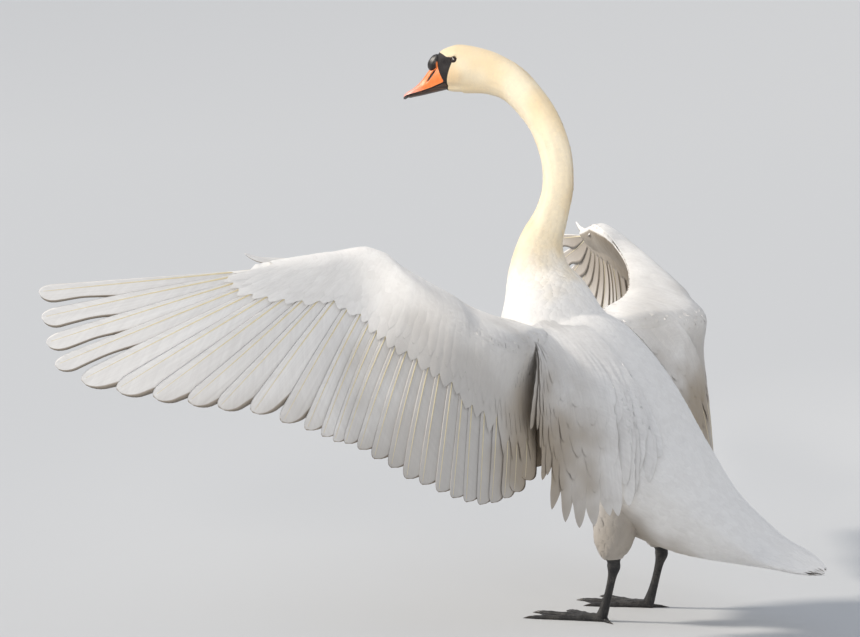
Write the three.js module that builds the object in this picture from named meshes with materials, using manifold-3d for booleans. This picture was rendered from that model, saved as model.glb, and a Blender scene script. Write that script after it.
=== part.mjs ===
// A mute swan standing with its wings half open and its neck in an S, life size, in millimetres.
// The bird is first laid out from its shoulders: F forward, L to its left, U up. The model then has
// +X to the bird's left, -Y forward and +Z up, with the soles of both feet on z = 0.
import * as THREE from "three";
import { mergeVertices } from "three/addons/utils/BufferGeometryUtils.js";
import Module from "manifold-3d";

const wasm = await Module();
wasm.setup();

// ---------------------------------------------------------------- driving dimensions
const SHOULDER_HEIGHT = 530;      // from the floor to the middle between the shoulder joints
const GAP = 0.3;                  // clearance between neighbouring pieces

// Body stations from tail to face: t, F, L, U, half width, height above and depth below the line.
const SPINE = [
  [0.00, -545, 0, -420, 6, 2, 2],
  [0.02, -520, 0, -414, 46, 5, 6],
  [0.04, -480, 0, -402, 78, 11, 12],
  [0.07, -430, 0, -385, 80, 20, 32],
  [0.10, -380, 0, -362, 84, 34, 58],
  [0.15, -315, 0, -324, 98, 46, 99],
  [0.22, -228, 0, -260, 132, 74, 142],
  [0.32, -130, 0, -172, 148, 108, 156],
  [0.42, -50, 0, -85, 146, 108, 152],
  [0.50, 10, 0, -20, 124, 92, 122],
  [0.555, 35, 0, 45, 94, 78, 84],
  [0.60, 51, 0, 100, 64, 55, 58],
  [0.64, 47, 0, 150, 46, 40, 42],
  [0.68, 24, 0, 207, 34, 32, 31],
  [0.72, 12, 0, 262, 30, 30, 29],
  [0.76, 20, 0, 322, 30, 31, 30],
  [0.80, 48, 0, 381, 30, 32, 31],
  [0.84, 99, 2, 435, 33, 35, 34],
  [0.88, 150, 7, 461, 34, 39, 40],
  [0.92, 198, 18, 470, 34, 44, 46],
  [0.96, 224, 24, 468, 30, 46, 43],
  [1.00, 243, 28.5, 465, 19.5, 38, 38],
];
// Where the body is parted: tail, trunk, lower neck, upper neck and head.
const TAIL_CUT = 0.085;
const NECK_BASE_CUT = 0.60;
const NECK_MIDDLE_CUT = 0.74;
const HEAD_CUT = 0.885;

// Left wing stations from shoulder to wing tip. n counts the flight feathers outwards: leading edge,
// quill root and feather tip, each as F, L, U, then dorsal and ventral bulge and feather camber.
const WING = [
  [-1, 36, 60, -5, 0, 60, -12, -70, 120, -120, 22, 24, 20],
  [0, 30, 128, 0, -20, 120, -5, -60, 186, -150, 22, 22, 6],
  [3, 18, 205, 20, -55, 225, 0, -116, 300, -226, 24, 20, 8],
  [6, 15, 262, 38, -82, 333, -2, -110, 386, -273, 27, 18, 6],
  [10, 40, 318, 72, -30, 372, 35, -44, 448, -270, 30, 14, 18],
  [16, 105, 378, 123, 55, 392, 88, 109, 513, -190, 27, 12, 28],
  [21, 150, 396, 152, 138, 402, 138, 219, 589, -141, 21, 11, 24],
  [22, 168, 407, 157, 155, 410, 143, 255, 632, -122, 20, 11, 22],
  [25, 212, 460, 151, 193, 455, 138, 368, 760, -88, 17, 10, 18],
  [28, 252, 512, 143, 232, 502, 132, 492, 872, -30, 14, 10, 14],
  [31, 290, 560, 134, 270, 548, 126, 535, 868, 93, 11, 9, 8],
];
const ELBOW = 6;                  // station where the upper arm meets the forearm
const WRIST = 21.5;               // station where the forearm meets the hand
const WING_END = 31.2;
const ARM_REACH = 0.2;            // share of the feather length that the fleshy wing covers
const ARM_REAR_THICKNESS = 3;
const ARM_CLEARANCE = 2 * GAP;     // between the arm and the feathers that grow from it
const ARM_FRONT = 0.3;            // share of the arm's section that lies before the feather roots
const SECTION_FULLNESS = 2.6;     // makes a section as thick as its stated bulge a third of the way back
const ARM_CUT = 0.012;            // half a cut's width across the wing, in feather pitches
const VANE_THICKNESS_ROOT = 2.6;
const VANE_THICKNESS_TIP = 1.2;
const BODY_LINE = 1500;           // the body line's length for the cuts, from tail to brow
const NO_FINGER = 99;             // a count that no feather of a closed group reaches
const FIRST_FINGER = 6;           // the seventh primary from the wrist
const FINGER_FROM = 0.64;         // share of a feather's length where fingers part
const CLOSED_TO = 0.955;          // and where the others part, just before their round ends
const ROUND_FROM = 0.92;          // where the ends start to round off
const FINGER_ROUNDING = 0.75;     // how much of the width the rounding takes from a finger's end
const CLOSED_ROUNDING = 0.5;      // and from any other feather's
const FINGER_SLIMMING = 0.35;     // how much slimmer a finger is than its overlapped part
const SLIMMING_LENGTH = 0.1;      // the share of its length over which it slims
const INNER_ROWS = [0.08, 0.38, 0.68, CLOSED_TO, 1];
const OUTER_ROWS = [0.06, 0.35, FINGER_FROM, 0.8, CLOSED_TO, 1];
const MANTLE_ROWS = [0.02, 0.38, 0.76, 0.9, 1];
const SHINGLE = 0.9;              // how far a leading vane stands over the next feather
const INNER_VANE = 0.72;          // share of the feather pitch behind the shaft
const OUTER_VANE = 0.22;          // share in front of it

// Left thumb feathers, a slim blade along the front edge: t, F, L, U, half thickness, half widths.
const THUMB = [
  [0.00, 205, 430, 150, 6, 11, 10],
  [0.35, 236, 468, 146, 4, 13, 12],
  [0.70, 272, 512, 134, 2.2, 9, 11],
  [0.90, 298, 545, 131, 1.4, 6, 6],
  [1.00, 312, 560, 136, 0.7, 2, 2],
];

// Left shoulder feathers, from the flank outwards: k, root F, L, U, tip F, L, U, camber.
const SHOULDER_FEATHERS = [
  [0, -114, 126, 0, -212, 150, -322, 24],
  [1, -100, 137, 8, -198, 172, -334, 26],
  [2, -88, 150, 12, -174, 212, -342, 26],
  [3, -80, 166, 14, -152, 252, -332, 24],
  [4, -78, 184, 16, -136, 300, -292, 20],
  [5, -80, 204, 18, -132, 298, -216, 14],
  [6, -86, 226, 20, -126, 326, -163, 10],
];
const SHOULDER_LAST = 6;

// Leg stations from hip to toe root: t, F, L, U, half width, depth in front and behind.
const LEG = [
  [0.00, -130, 66, -290, 50, 42, 58],
  [0.25, -158, 82, -345, 40, 40, 48],
  [0.42, -161, 88, -386, 30, 34, 32],
  [0.50, -160, 89, -405, 22, 22, 20],
  [0.56, -161, 89, -416, 12, 13, 13],
  [0.64, -161, 89, -428, 10.5, 12, 13],
  [0.72, -158, 88, -443, 7.5, 8, 9],
  [0.90, -146, 87, -492, 7, 7.5, 8],
  [1.00, -140, 87, -512, 9, 10, 9],
];
const FEATHERED_LEG = 0.535;
const TOE_ROOT = new THREE.Vector2(-138, 87);
// Toes: length, angle outwards from straight ahead in degrees, half width at the root.
const TOES = [
  { length: 112, angle: -27, width: 7 },
  { length: 142, angle: -3, width: 7.5 },
  { length: 136, angle: 21, width: 7 },
];
const HIND_TOE = { length: 26, angle: 150, width: 4, height: 9 };
const TOE_HEIGHT = 13;
const WEB_THICKNESS = 3;
const WEB_SAG = 0.2;              // how far the web's front edge hangs back between two toes
const CLAW_LENGTH = 13;

// Head: its own frame sits between the eyes, turned to the left and nodding down.
const HEAD_CENTRE = [215, 22, 489];
const HEAD_TURN = THREE.MathUtils.degToRad(13);
const HEAD_NOD = THREE.MathUtils.degToRad(19);
const EYE_RADIUS = 6.2;
const EYE_PLACE = { ahead: 1.5, side: 25, above: -1 };
// Bill stations: distance ahead, half width, top of the bill, bite line, bottom of the lower bill.
const BILL = [
  [30, 18.5, 8, -34, -48],
  [45, 17.5, 5, -35, -47],
  [64, 15.5, -3, -36, -45],
  [78, 15, -12, -36, -43.5],
  [92, 16, -19.5, -35.5, -42],
  [106, 17, -24.5, -34.5, -40],
  [118, 14.5, -28, -34.5, -38.5],
  [125, 9, -31.5, -36, -37.5],
  [128, 3, -35, -37.5, -38],
];
const BILL_START = 38;
const BILL_LEAN = 0.2;             // how far the bill's rear edge leans forward, for its height
const BILL_UPPER_END = 128;
const BILL_LOWER_END = 121;
const KNOB = { ahead: 49, above: 8, length: 13.5, width: 11.5, height: 14.5 };

// ---------------------------------------------------------------- curves and frames
// A smooth curve through the rows of a table; the first number of a row is the parameter.
function along(keys, t) {
  const last = keys.length - 1;
  const slope = (i, j) => (keys[i + 1][j] - keys[i][j]) / (keys[i + 1][0] - keys[i][0]);
  const tangent = (i, j) => {
    if (i === 0) return slope(0, j);
    if (i === last) return slope(last - 1, j);
    const before = keys[i][0] - keys[i - 1][0];
    const after = keys[i + 1][0] - keys[i][0];
    return (slope(i - 1, j) * after + slope(i, j) * before) / (before + after);
  };
  let i = 0;
  while (i < last - 1 && t >= keys[i + 1][0]) i += 1;
  const h = keys[i + 1][0] - keys[i][0];
  const s = (t - keys[i][0]) / h;
  const blend = [2 * s ** 3 - 3 * s ** 2 + 1, (s ** 3 - 2 * s ** 2 + s) * h,
    -2 * s ** 3 + 3 * s ** 2, (s ** 3 - s ** 2) * h];
  return keys[i].slice(1).map((value, j) => blend[0] * value + blend[1] * tangent(i, j + 1)
    + blend[2] * keys[i + 1][j + 1] + blend[3] * tangent(i + 1, j + 1));
}

// Bird measures F, L, U to a point of the model.
function at(f, l, u) {
  return new THREE.Vector3(l, -f, u + SHOULDER_HEIGHT);
}

function mix(a, b, share) {
  return a.clone().lerp(b, share);
}

function spread(count, from, to) {
  return Array.from({ length: count }, (_, i) => from + (to - from) * i / (count - 1));
}

// ---------------------------------------------------------------- solids
// An indexed list of points and triangles as one closed geometry whose faces point outwards.
function closed(points, triangles) {
  let volume = 0;
  for (const [a, b, c] of triangles) {
    volume += points[a].dot(new THREE.Vector3().crossVectors(points[b], points[c]));
  }
  const order = volume < 0 ? triangles.map(([a, b, c]) => [a, c, b]) : triangles;
  const geometry = new THREE.BufferGeometry();
  geometry.setAttribute("position", new THREE.Float32BufferAttribute(points.flatMap((p) => p.toArray()), 3));
  geometry.setIndex(order.flat());
  return geometry;
}

// Rings of points joined one to the next, with a fan over each end.
function skinned(rings) {
  const sides = rings[0].length;
  const points = rings.flat();
  const triangles = [];
  for (let i = 0; i + 1 < rings.length; i += 1) {
    for (let j = 0; j < sides; j += 1) {
      const a = i * sides + j;
      const b = i * sides + (j + 1) % sides;
      triangles.push([a, b, b + sides], [a, b + sides, a + sides]);
    }
  }
  for (const [ring, first] of [[0, true], [rings.length - 1, false]]) {
    const middle = new THREE.Vector3();
    rings[ring].forEach((p) => middle.add(p));
    points.push(middle.divideScalar(sides));
    const tip = points.length - 1;
    for (let j = 0; j < sides; j += 1) {
      const a = ring * sides + j;
      const b = ring * sides + (j + 1) % sides;
      triangles.push(first ? [tip, b, a] : [tip, a, b]);
    }
  }
  return closed(points, triangles);
}

// A body or limb: oval sections square to a station table's line. grow makes it thicker all round.
function limb(keys, from, to, steps, sides, grow = 0, side = 1) {
  const first = keys[0][0];
  const end = keys[keys.length - 1][0];
  const rings = spread(steps, from, to).map((t) => {
    const [f, l, u, width, above, below] = along(keys, t);
    const ahead = along(keys, Math.min(t + 0.001, end));
    const behind = along(keys, Math.max(t - 0.001, first));
    const tangent = new THREE.Vector3(ahead[0] - behind[0], ahead[1] - behind[1], ahead[2] - behind[2]).normalize();
    const back = new THREE.Vector3(-tangent.z, 0, tangent.x);
    const across = new THREE.Vector3().crossVectors(back, tangent).normalize();
    back.crossVectors(tangent, across);
    const shift = t === from ? -grow : (t === to ? grow : 0);
    return Array.from({ length: sides }, (_, j) => {
      const angle = 2 * Math.PI * j / sides;
      const height = ((Math.cos(angle) > 0 ? above : below) + grow) * Math.cos(angle);
      const half = (width + grow) * Math.sin(angle);
      const p = new THREE.Vector3(f, l, u).addScaledVector(across, half).addScaledVector(back, height)
        .addScaledVector(tangent, shift);
      return at(p.x, side * p.y, p.z);
    });
  });
  return skinned(rings);
}

function solid(geometry) {
  const plain = geometry.clone();
  for (const name of ["normal", "uv"]) {
    if (plain.attributes[name]) plain.deleteAttribute(name);
  }
  const merged = mergeVertices(plain, 1e-4);
  return new wasm.Manifold(new wasm.Mesh({
    numProp: 3,
    vertProperties: new Float32Array(merged.attributes.position.array),
    triVerts: new Uint32Array(merged.index.array),
  }));
}

// The largest single body of a solid, as a geometry again.
function shape(body) {
  const bodies = body.decompose().sort((a, b) => b.volume() - a.volume());
  const mesh = bodies[0].getMesh();
  const geometry = new THREE.BufferGeometry();
  geometry.setAttribute("position", new THREE.Float32BufferAttribute(Array.from(mesh.vertProperties), 3));
  geometry.setIndex(Array.from(mesh.triVerts));
  return geometry;
}

// ---------------------------------------------------------------- wing surfaces
function wingStation(n, side) {
  const row = along(WING, n);
  const near = along(WING, Math.max(n - 0.5, -1));
  const far = along(WING, Math.min(n + 0.5, 31));
  const lead = at(row[0], row[1] * side, row[2]);
  const root = at(row[3], row[4] * side, row[5]);
  const tip = at(row[6], row[7] * side, row[8]);
  const span = at(far[3], far[4] * side, far[5]).sub(at(near[3], near[4] * side, near[5]));
  const dorsal = new THREE.Vector3().crossVectors(span, tip.clone().sub(root)).normalize();
  if (dorsal.y < 0) dorsal.negate();
  return { lead, root, tip, dorsal, above: row[9], below: row[10], camber: row[11] };
}

function featherLine(station, s) {
  return mix(station.root, station.tip, s).addScaledVector(station.dorsal, station.camber * 4 * s * (1 - s));
}

// The fleshy wing: sections like an aircraft wing's, round in front and thin behind.
function arm(from, to, steps, side, grow = 0) {
  const shares = [0, 0.04, 0.14, ARM_FRONT, 0.5, 0.75, 1];
  const thickness = (q) => SECTION_FULLNESS * Math.sqrt(q) * (1 - q);
  const rings = spread(steps, from, to).map((n, i) => {
    const station = wingStation(n, side);
    const forwards = station.lead.clone().sub(station.root).normalize();
    const middle = (q) => (q < ARM_FRONT
      ? mix(station.lead, station.root, q / ARM_FRONT)
      : featherLine(station, ARM_REACH * (q - ARM_FRONT) / (1 - ARM_FRONT)));
    const wall = (q, bulge, sign) => middle(q)
      .addScaledVector(station.dorsal, sign * (bulge * thickness(q) + ARM_REAR_THICKNESS * q + grow))
      .addScaledVector(forwards, q < 0.02 ? grow : (q > 0.98 ? -grow : 0));
    const upper = shares.map((q) => wall(q, station.above, 1));
    const lower = shares.slice().reverse().map((q) => wall(q, station.below, -1));
    if (grow === 0) lower.pop();
    if (grow > 0) {
      const next = wingStation(n + (i === 0 ? 0.1 : -0.1), side).root.clone().sub(station.root).normalize();
      const push = i === 0 || i === steps - 1 ? -grow : 0;
      return [...upper, ...lower].map((p) => p.addScaledVector(next, push));
    }
    return [...upper, ...lower];
  });
  return skinned(rings);
}

// A sheet of shingled feathers as one plate. Each feather has a column of points on its inner and one
// on its outer vane edge. Past its split row it stands apart from the next one.
function featherSheet(feathers, rows, station, side, widths) {
  const vane = [{ share: -INNER_VANE, lift: -SHINGLE }, { share: OUTER_VANE, lift: SHINGLE }];
  const columns = [];
  feathers.forEach((n, i) => vane.forEach(({ share, lift }, c) => columns.push({ n, i, c, share, lift })));
  const tops = [];
  const bottoms = [];
  for (const { n, i, share, lift } of columns) {
    const here = station(n, side);
    const inner = station(n - 0.5, side);
    const outer = station(n + 0.5, side);
    for (const s of rows) {
      const { taper } = widths(i, s);
      const across = featherLine(outer, s).sub(featherLine(inner, s));
      const p = featherLine(here, s).addScaledVector(across, share * taper);
      p.addScaledVector(here.dorsal, lift);
      const half = (VANE_THICKNESS_ROOT + (VANE_THICKNESS_TIP - VANE_THICKNESS_ROOT) * s) / 2;
      tops.push(p.clone().addScaledVector(here.dorsal, half));
      bottoms.push(p.addScaledVector(here.dorsal, -half));
    }
  }
  const points = [...tops, ...bottoms];
  const under = tops.length;
  const id = (column, row) => column * rows.length + row;
  const filled = (column, row) => column >= 0 && column < columns.length - 1 && row >= 0
    && row < rows.length - 1 && (columns[column].c < vane.length - 1 || rows[row + 1] <= widths(columns[column].i, 1).split);
  const triangles = [];
  const quad = (a, b, c, d) => triangles.push([a, b, c], [a, c, d]);
  for (let column = 0; column < columns.length - 1; column += 1) {
    for (let row = 0; row < rows.length - 1; row += 1) {
      if (!filled(column, row)) continue;
      const [a, b, c, d] = [id(column, row), id(column + 1, row), id(column + 1, row + 1), id(column, row + 1)];
      quad(a, b, c, d);
      quad(under + d, under + c, under + b, under + a);
      if (!filled(column, row - 1)) quad(b, a, under + a, under + b);
      if (!filled(column, row + 1)) quad(d, c, under + c, under + d);
      if (!filled(column - 1, row)) quad(a, d, under + d, under + a);
      if (!filled(column + 1, row)) quad(c, b, under + b, under + c);
    }
  }
  return closed(points, triangles);
}

// Flight feathers close up to their tips; the four outermost stand apart like fingers.
function flightWidths(firstFinger) {
  return (i, s) => {
    const apart = i >= firstFinger;
    const end = Math.max((s - ROUND_FROM) / (1 - ROUND_FROM), 0);
    const rounded = 1 - (apart ? FINGER_ROUNDING : CLOSED_ROUNDING) * end ** 2;
    const slimmed = Math.min(Math.max((s - FINGER_FROM) / SLIMMING_LENGTH, 0), 1);
    const finger = apart ? 1 - FINGER_SLIMMING * slimmed : 1;
    return { taper: rounded * finger, split: apart ? FINGER_FROM : CLOSED_TO };
  };
}

function shoulderStation(k, side) {
  const row = along(SHOULDER_FEATHERS, Math.min(Math.max(k, 0), SHOULDER_LAST));
  const near = along(SHOULDER_FEATHERS, Math.max(k - 0.5, 0));
  const far = along(SHOULDER_FEATHERS, Math.min(k + 0.5, SHOULDER_LAST));
  const root = at(row[0], row[1] * side, row[2]);
  const tip = at(row[3], row[4] * side, row[5]);
  const span = at(far[0], far[1] * side, far[2]).sub(at(near[0], near[1] * side, near[2]));
  const dorsal = new THREE.Vector3().crossVectors(span, tip.clone().sub(root)).normalize();
  if (dorsal.y < 0) dorsal.negate();
  return { root, tip, dorsal, camber: row[6] };
}

function shoulderWidths(i, s) {
  const pointed = s > 0.7 ? 1 - 0.8 * ((s - 0.7) / 0.3) ** 1.6 : 1;
  return { taper: pointed, split: 0.76 };
}

// ---------------------------------------------------------------- head, bill and eyes
function headPoint(ahead, side, above) {
  const forward = new THREE.Vector3(Math.cos(HEAD_TURN) * Math.cos(HEAD_NOD),
    Math.sin(HEAD_TURN) * Math.cos(HEAD_NOD), -Math.sin(HEAD_NOD));
  const left = new THREE.Vector3(-Math.sin(HEAD_TURN), Math.cos(HEAD_TURN), 0);
  const up = new THREE.Vector3().crossVectors(forward, left);
  const p = new THREE.Vector3(...HEAD_CENTRE).addScaledVector(forward, ahead)
    .addScaledVector(left, side).addScaledVector(up, above);
  return at(p.x, p.y, p.z);
}

// Half of the bill: arched above and flat at the bite line, or the shallow trough below it.
function billHalf(from, to, steps, upper, grow = 0) {
  const rings = spread(steps, from, to).map((ahead, i) => {
    const lean = BILL_LEAN * Math.max(0, (BILL_UPPER_END - ahead) / (BILL_UPPER_END - BILL_START));
    const [half, top, bite, bottom] = along(BILL, ahead);
    const width = upper ? half : half * 0.86;
    const height = upper ? top - bite : bite - bottom - GAP;
    const base = upper ? bite : bite - GAP;
    const shift = i === 0 ? -grow : (i === steps - 1 ? grow : 0);
    return Array.from({ length: 11 }, (_, j) => {
      const angle = Math.PI * j / 10;
      const across = (width + grow) * Math.cos(angle);
      const arch = Math.max(Math.sin(angle), 0) ** (upper ? 0.8 : 0.6);
      const rise = (upper ? height + 2 * grow : -Math.max(height, 0.8) - 2 * grow) * arch;
      const leaning = lean * Math.max(rise, 0);
      return headPoint(ahead + shift + leaning, across, base + rise - (upper ? grow : -grow));
    });
  });
  return skinned(rings);
}

function egg(centre, length, width, height, segments) {
  const ball = new THREE.SphereGeometry(1, segments, Math.round(segments * 0.6));
  const position = ball.attributes.position;
  for (let i = 0; i < position.count; i += 1) {
    const p = headPoint(centre.ahead + length * position.getX(i), centre.side + width * position.getY(i),
      centre.above + height * position.getZ(i));
    position.setXYZ(i, p.x, p.y, p.z);
  }
  return ball;
}

// ---------------------------------------------------------------- feet
// A toe: a low arch, flat underneath, that runs from the toe root to a small claw on the floor.
function toe(length, angle, width, height, side) {
  const turn = THREE.MathUtils.degToRad(angle);
  const shares = [0, 0.14, 0.34, 0.6, 0.84, 0.92, 1];
  const heights = [1, 0.95, 0.7, 0.6, 0.5, 0.42, 0.1];
  const widths = [1.25, 1.1, 0.9, 0.85, 0.72, 0.5, 0.12];
  const reach = length + CLAW_LENGTH;
  const rings = shares.map((share, i) => Array.from({ length: 5 }, (_, j) => {
    const bend = Math.PI * j / 4;
    const across = width * widths[i] * Math.cos(bend);
    const rise = height * heights[i] * Math.sin(bend);
    const f = TOE_ROOT.x + reach * share * Math.cos(turn) - across * Math.sin(turn);
    const l = TOE_ROOT.y + reach * share * Math.sin(turn) + across * Math.cos(turn);
    return new THREE.Vector3(l * side, -f, rise);
  }));
  return skinned(rings);
}

function web(side) {
  const outline = new THREE.Shape();
  const tips = TOES.map(({ length, angle }) => {
    const turn = THREE.MathUtils.degToRad(angle);
    return new THREE.Vector2(side * (TOE_ROOT.y + length * Math.sin(turn)), -(TOE_ROOT.x + length * Math.cos(turn)));
  });
  const heel = new THREE.Vector2(side * TOE_ROOT.y, -TOE_ROOT.x);
  outline.moveTo(heel.x, heel.y);
  outline.lineTo(tips[0].x, tips[0].y);
  for (let i = 1; i < tips.length; i += 1) {
    const sag = tips[i - 1].clone().lerp(tips[i], 0.5).lerp(heel, WEB_SAG);
    outline.quadraticCurveTo(sag.x, sag.y, tips[i].x, tips[i].y);
  }
  outline.lineTo(heel.x, heel.y);
  return new THREE.ExtrudeGeometry(outline, { depth: WEB_THICKNESS, bevelEnabled: false, curveSegments: 4 });
}

function foot(side) {
  let body = solid(web(side));
  for (const { length, angle, width } of TOES) {
    body = body.add(solid(toe(length, angle, width, TOE_HEIGHT, side)));
  }
  return body.add(solid(toe(HIND_TOE.length, HIND_TOE.angle, HIND_TOE.width, HIND_TOE.height, side)));
}

// ---------------------------------------------------------------- the swan
const finishes = {
  white: { color: 0xf1eee8, roughness: 0.85 },
  cream: { color: 0xe9dcc2, roughness: 0.85 },
  orange: { color: 0xdd6a35, roughness: 0.5 },
  black: { color: 0x1b1a1b, roughness: 0.6 },
  eye: { color: 0x1c120d, roughness: 0.1 },
  leg: { color: 0x2b2a2b, roughness: 0.6 },
};
const swan = new THREE.Group();

function place(name, geometry, finish) {
  const material = new THREE.MeshStandardMaterial({ ...finishes[finish], metalness: 0 });
  const mesh = new THREE.Mesh(geometry, material);
  mesh.name = name;
  swan.add(mesh);
}

const seam = GAP / BODY_LINE;     // half a cut's width, as a share of the body line
place("tail", limb(SPINE, 0, TAIL_CUT - seam, 8, 16), "white");
place("trunk", limb(SPINE, TAIL_CUT + seam, NECK_BASE_CUT - seam, 16, 22), "white");
place("neck_lower", limb(SPINE, NECK_BASE_CUT + seam, NECK_MIDDLE_CUT - seam, 9, 16), "cream");
place("neck_upper", limb(SPINE, NECK_MIDDLE_CUT + seam, HEAD_CUT - seam, 10, 16), "cream");

const eyes = { left: 1, right: -1 };
const bareHead = limb(SPINE, HEAD_CUT + seam, 1, 8, 18);
const grownHead = solid(limb(SPINE, HEAD_CUT, 1, 8, 18, GAP));
let head = solid(bareHead);
for (const side of Object.values(eyes)) {
  const centre = { ...EYE_PLACE, side: EYE_PLACE.side * side };
  head = head.subtract(solid(egg(centre, EYE_RADIUS + GAP, EYE_RADIUS + GAP, EYE_RADIUS + GAP, 8)));
}
place("head", shape(head), "cream");
for (const [name, side] of Object.entries(eyes)) {
  const centre = { ...EYE_PLACE, side: EYE_PLACE.side * side };
  place(`eye_${name}`, shape(solid(egg(centre, EYE_RADIUS, EYE_RADIUS, EYE_RADIUS, 8))), "eye");
}
const upperBill = solid(billHalf(BILL_START, BILL_UPPER_END, 10, true));
place("bill_upper", shape(upperBill.subtract(grownHead)), "orange");
const knob = solid(egg({ ...KNOB, side: 0 }, KNOB.length, KNOB.width, KNOB.height, 14));
const grownBill = solid(billHalf(BILL_START - GAP, BILL_UPPER_END, 10, true, 1.5 * GAP));
const lowerBill = solid(billHalf(BILL_START, BILL_LOWER_END, 8, false));
place("bill_lower", shape(lowerBill.subtract(grownHead).subtract(grownBill)), "black");
place("bill_knob", shape(knob.subtract(grownHead).subtract(grownBill)), "black");

const grownTrunk = solid(limb(SPINE, TAIL_CUT, NECK_BASE_CUT, 16, 22, GAP));
for (const [name, side] of Object.entries({ left: 1, right: -1 })) {
  const grownArm = solid(arm(-1, ELBOW, 6, side, ARM_CLEARANCE))
    .add(solid(arm(ELBOW, WRIST, 8, side, ARM_CLEARANCE)))
    .add(solid(arm(WRIST, WING_END, 6, side, ARM_CLEARANCE)));
  place(`upper_arm_${name}`, shape(solid(arm(-1, ELBOW - ARM_CUT, 6, side)).subtract(grownTrunk)), "white");
  place(`forearm_${name}`, arm(ELBOW + ARM_CUT, WRIST - ARM_CUT, 8, side), "white");
  place(`hand_${name}`, arm(WRIST + ARM_CUT, WING_END, 6, side), "white");
  const thumb = solid(limb(THUMB, 0, 1, 7, 8, 0, side));
  place(`thumb_${name}`, shape(thumb.subtract(grownArm)), "white");

  const flight = [
    ["tertials", spread(7, 0, 6), INNER_ROWS, flightWidths(NO_FINGER)],
    ["secondaries", spread(15, 7, 21), INNER_ROWS, flightWidths(NO_FINGER)],
    ["primaries", spread(10, 22, 31), OUTER_ROWS, flightWidths(FIRST_FINGER)],
  ];
  for (const [group, feathers, rows, widths] of flight) {
    const sheet = solid(featherSheet(feathers, rows, wingStation, side, widths));
    place(`${group}_${name}`, shape(sheet.subtract(grownArm).subtract(grownTrunk)), "white");
  }
  const mantle = solid(featherSheet(spread(7, 0, SHOULDER_LAST), MANTLE_ROWS, shoulderStation, side,
    shoulderWidths));
  place(`shoulder_feathers_${name}`, shape(mantle.subtract(grownArm).subtract(grownTrunk)), "white");

  place(`thigh_${name}`, shape(solid(limb(LEG, 0, FEATHERED_LEG - 0.001, 8, 14, 0, side)).subtract(grownTrunk)),
    "white");
  const footBody = foot(side);
  const shank = solid(limb(LEG, FEATHERED_LEG + 0.001, 1, 8, 8, 0, side));
  place(`shank_${name}`, shape(shank), "leg");
  const grownShank = solid(limb(LEG, 0.8, 1, 4, 8, GAP, side));
  place(`foot_${name}`, shape(footBody.subtract(grownShank)), "leg");
}

// The origin is the middle of the whole bird's box, on the floor.
const box = new THREE.Box3().setFromObject(swan);
const centre = box.getCenter(new THREE.Vector3());
swan.position.set(-centre.x, -centre.y, -box.min.z);
export default swan;
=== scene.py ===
"""A mute swan standing with its wings half open and its neck in an S, life size.

The bird is laid out in millimetres from the middle between its shoulders: F forward, L to its left
and U up. placed() turns such points into the model's own metres.
"""

import bpy
import numpy as np
from mathutils import Matrix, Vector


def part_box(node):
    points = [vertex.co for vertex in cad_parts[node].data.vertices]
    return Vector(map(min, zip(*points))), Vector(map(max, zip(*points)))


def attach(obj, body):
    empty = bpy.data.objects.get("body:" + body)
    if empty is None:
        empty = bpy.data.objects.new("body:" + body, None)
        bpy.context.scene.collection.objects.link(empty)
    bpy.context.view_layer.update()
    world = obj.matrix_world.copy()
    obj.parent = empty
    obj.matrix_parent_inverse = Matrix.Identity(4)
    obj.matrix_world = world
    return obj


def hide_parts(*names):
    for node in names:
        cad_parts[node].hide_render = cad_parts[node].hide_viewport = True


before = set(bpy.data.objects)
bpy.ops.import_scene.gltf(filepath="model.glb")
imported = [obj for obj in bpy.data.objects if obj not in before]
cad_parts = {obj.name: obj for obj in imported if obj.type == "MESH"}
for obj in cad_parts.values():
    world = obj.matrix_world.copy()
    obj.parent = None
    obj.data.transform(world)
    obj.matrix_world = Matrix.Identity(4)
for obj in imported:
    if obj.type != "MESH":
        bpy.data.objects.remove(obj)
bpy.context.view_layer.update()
rng = np.random.default_rng(11)

# ---------------- camera, light and floor
# The camera stands low behind the bird's left shoulder with a long lens. A broad soft sun shines from
# the front left, four narrow spot lamps lift the neck, both wings and the tail, and a pale floor that
# curls up far away and a pale sky fill the shade.
LEFT_EYE = np.array([210.44, 46.61, 487.57])
VIEW_TURN, VIEW_RISE = np.radians([33.0, 5.0])
VIEW_DISTANCE = 6100.0
SHOULDER_IN_VIEW = (246.3, -10.2)
LENS = 137.9


def turned(vectors):
    """F, L, U directions as model directions: X is L, Y is minus F and Z is U."""
    f, l, u = np.moveaxis(np.asarray(vectors, float), -1, 0)
    return np.stack([l, -f, u], -1)


low, high = (np.array(corner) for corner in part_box("eye_left"))
ORIGIN = (low + high) / 2 - turned(LEFT_EYE) * 0.001


def placed(points):
    """F, L, U in millimetres as model points in metres, with the left eye where the frame has it."""
    return turned(points) * 0.001 + ORIGIN


def aim(thing, right, upright, position):
    """Turns a camera or lamp so that its own X, Y and minus Z are right, upright and the way it looks."""
    matrix = np.eye(4)
    matrix[:3, 0] = right
    matrix[:3, 1] = upright
    matrix[:3, 2] = np.cross(right, upright)
    matrix[:3, 3] = position
    thing.matrix_world = Matrix(matrix.tolist())
    bpy.context.scene.collection.objects.link(thing)


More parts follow.
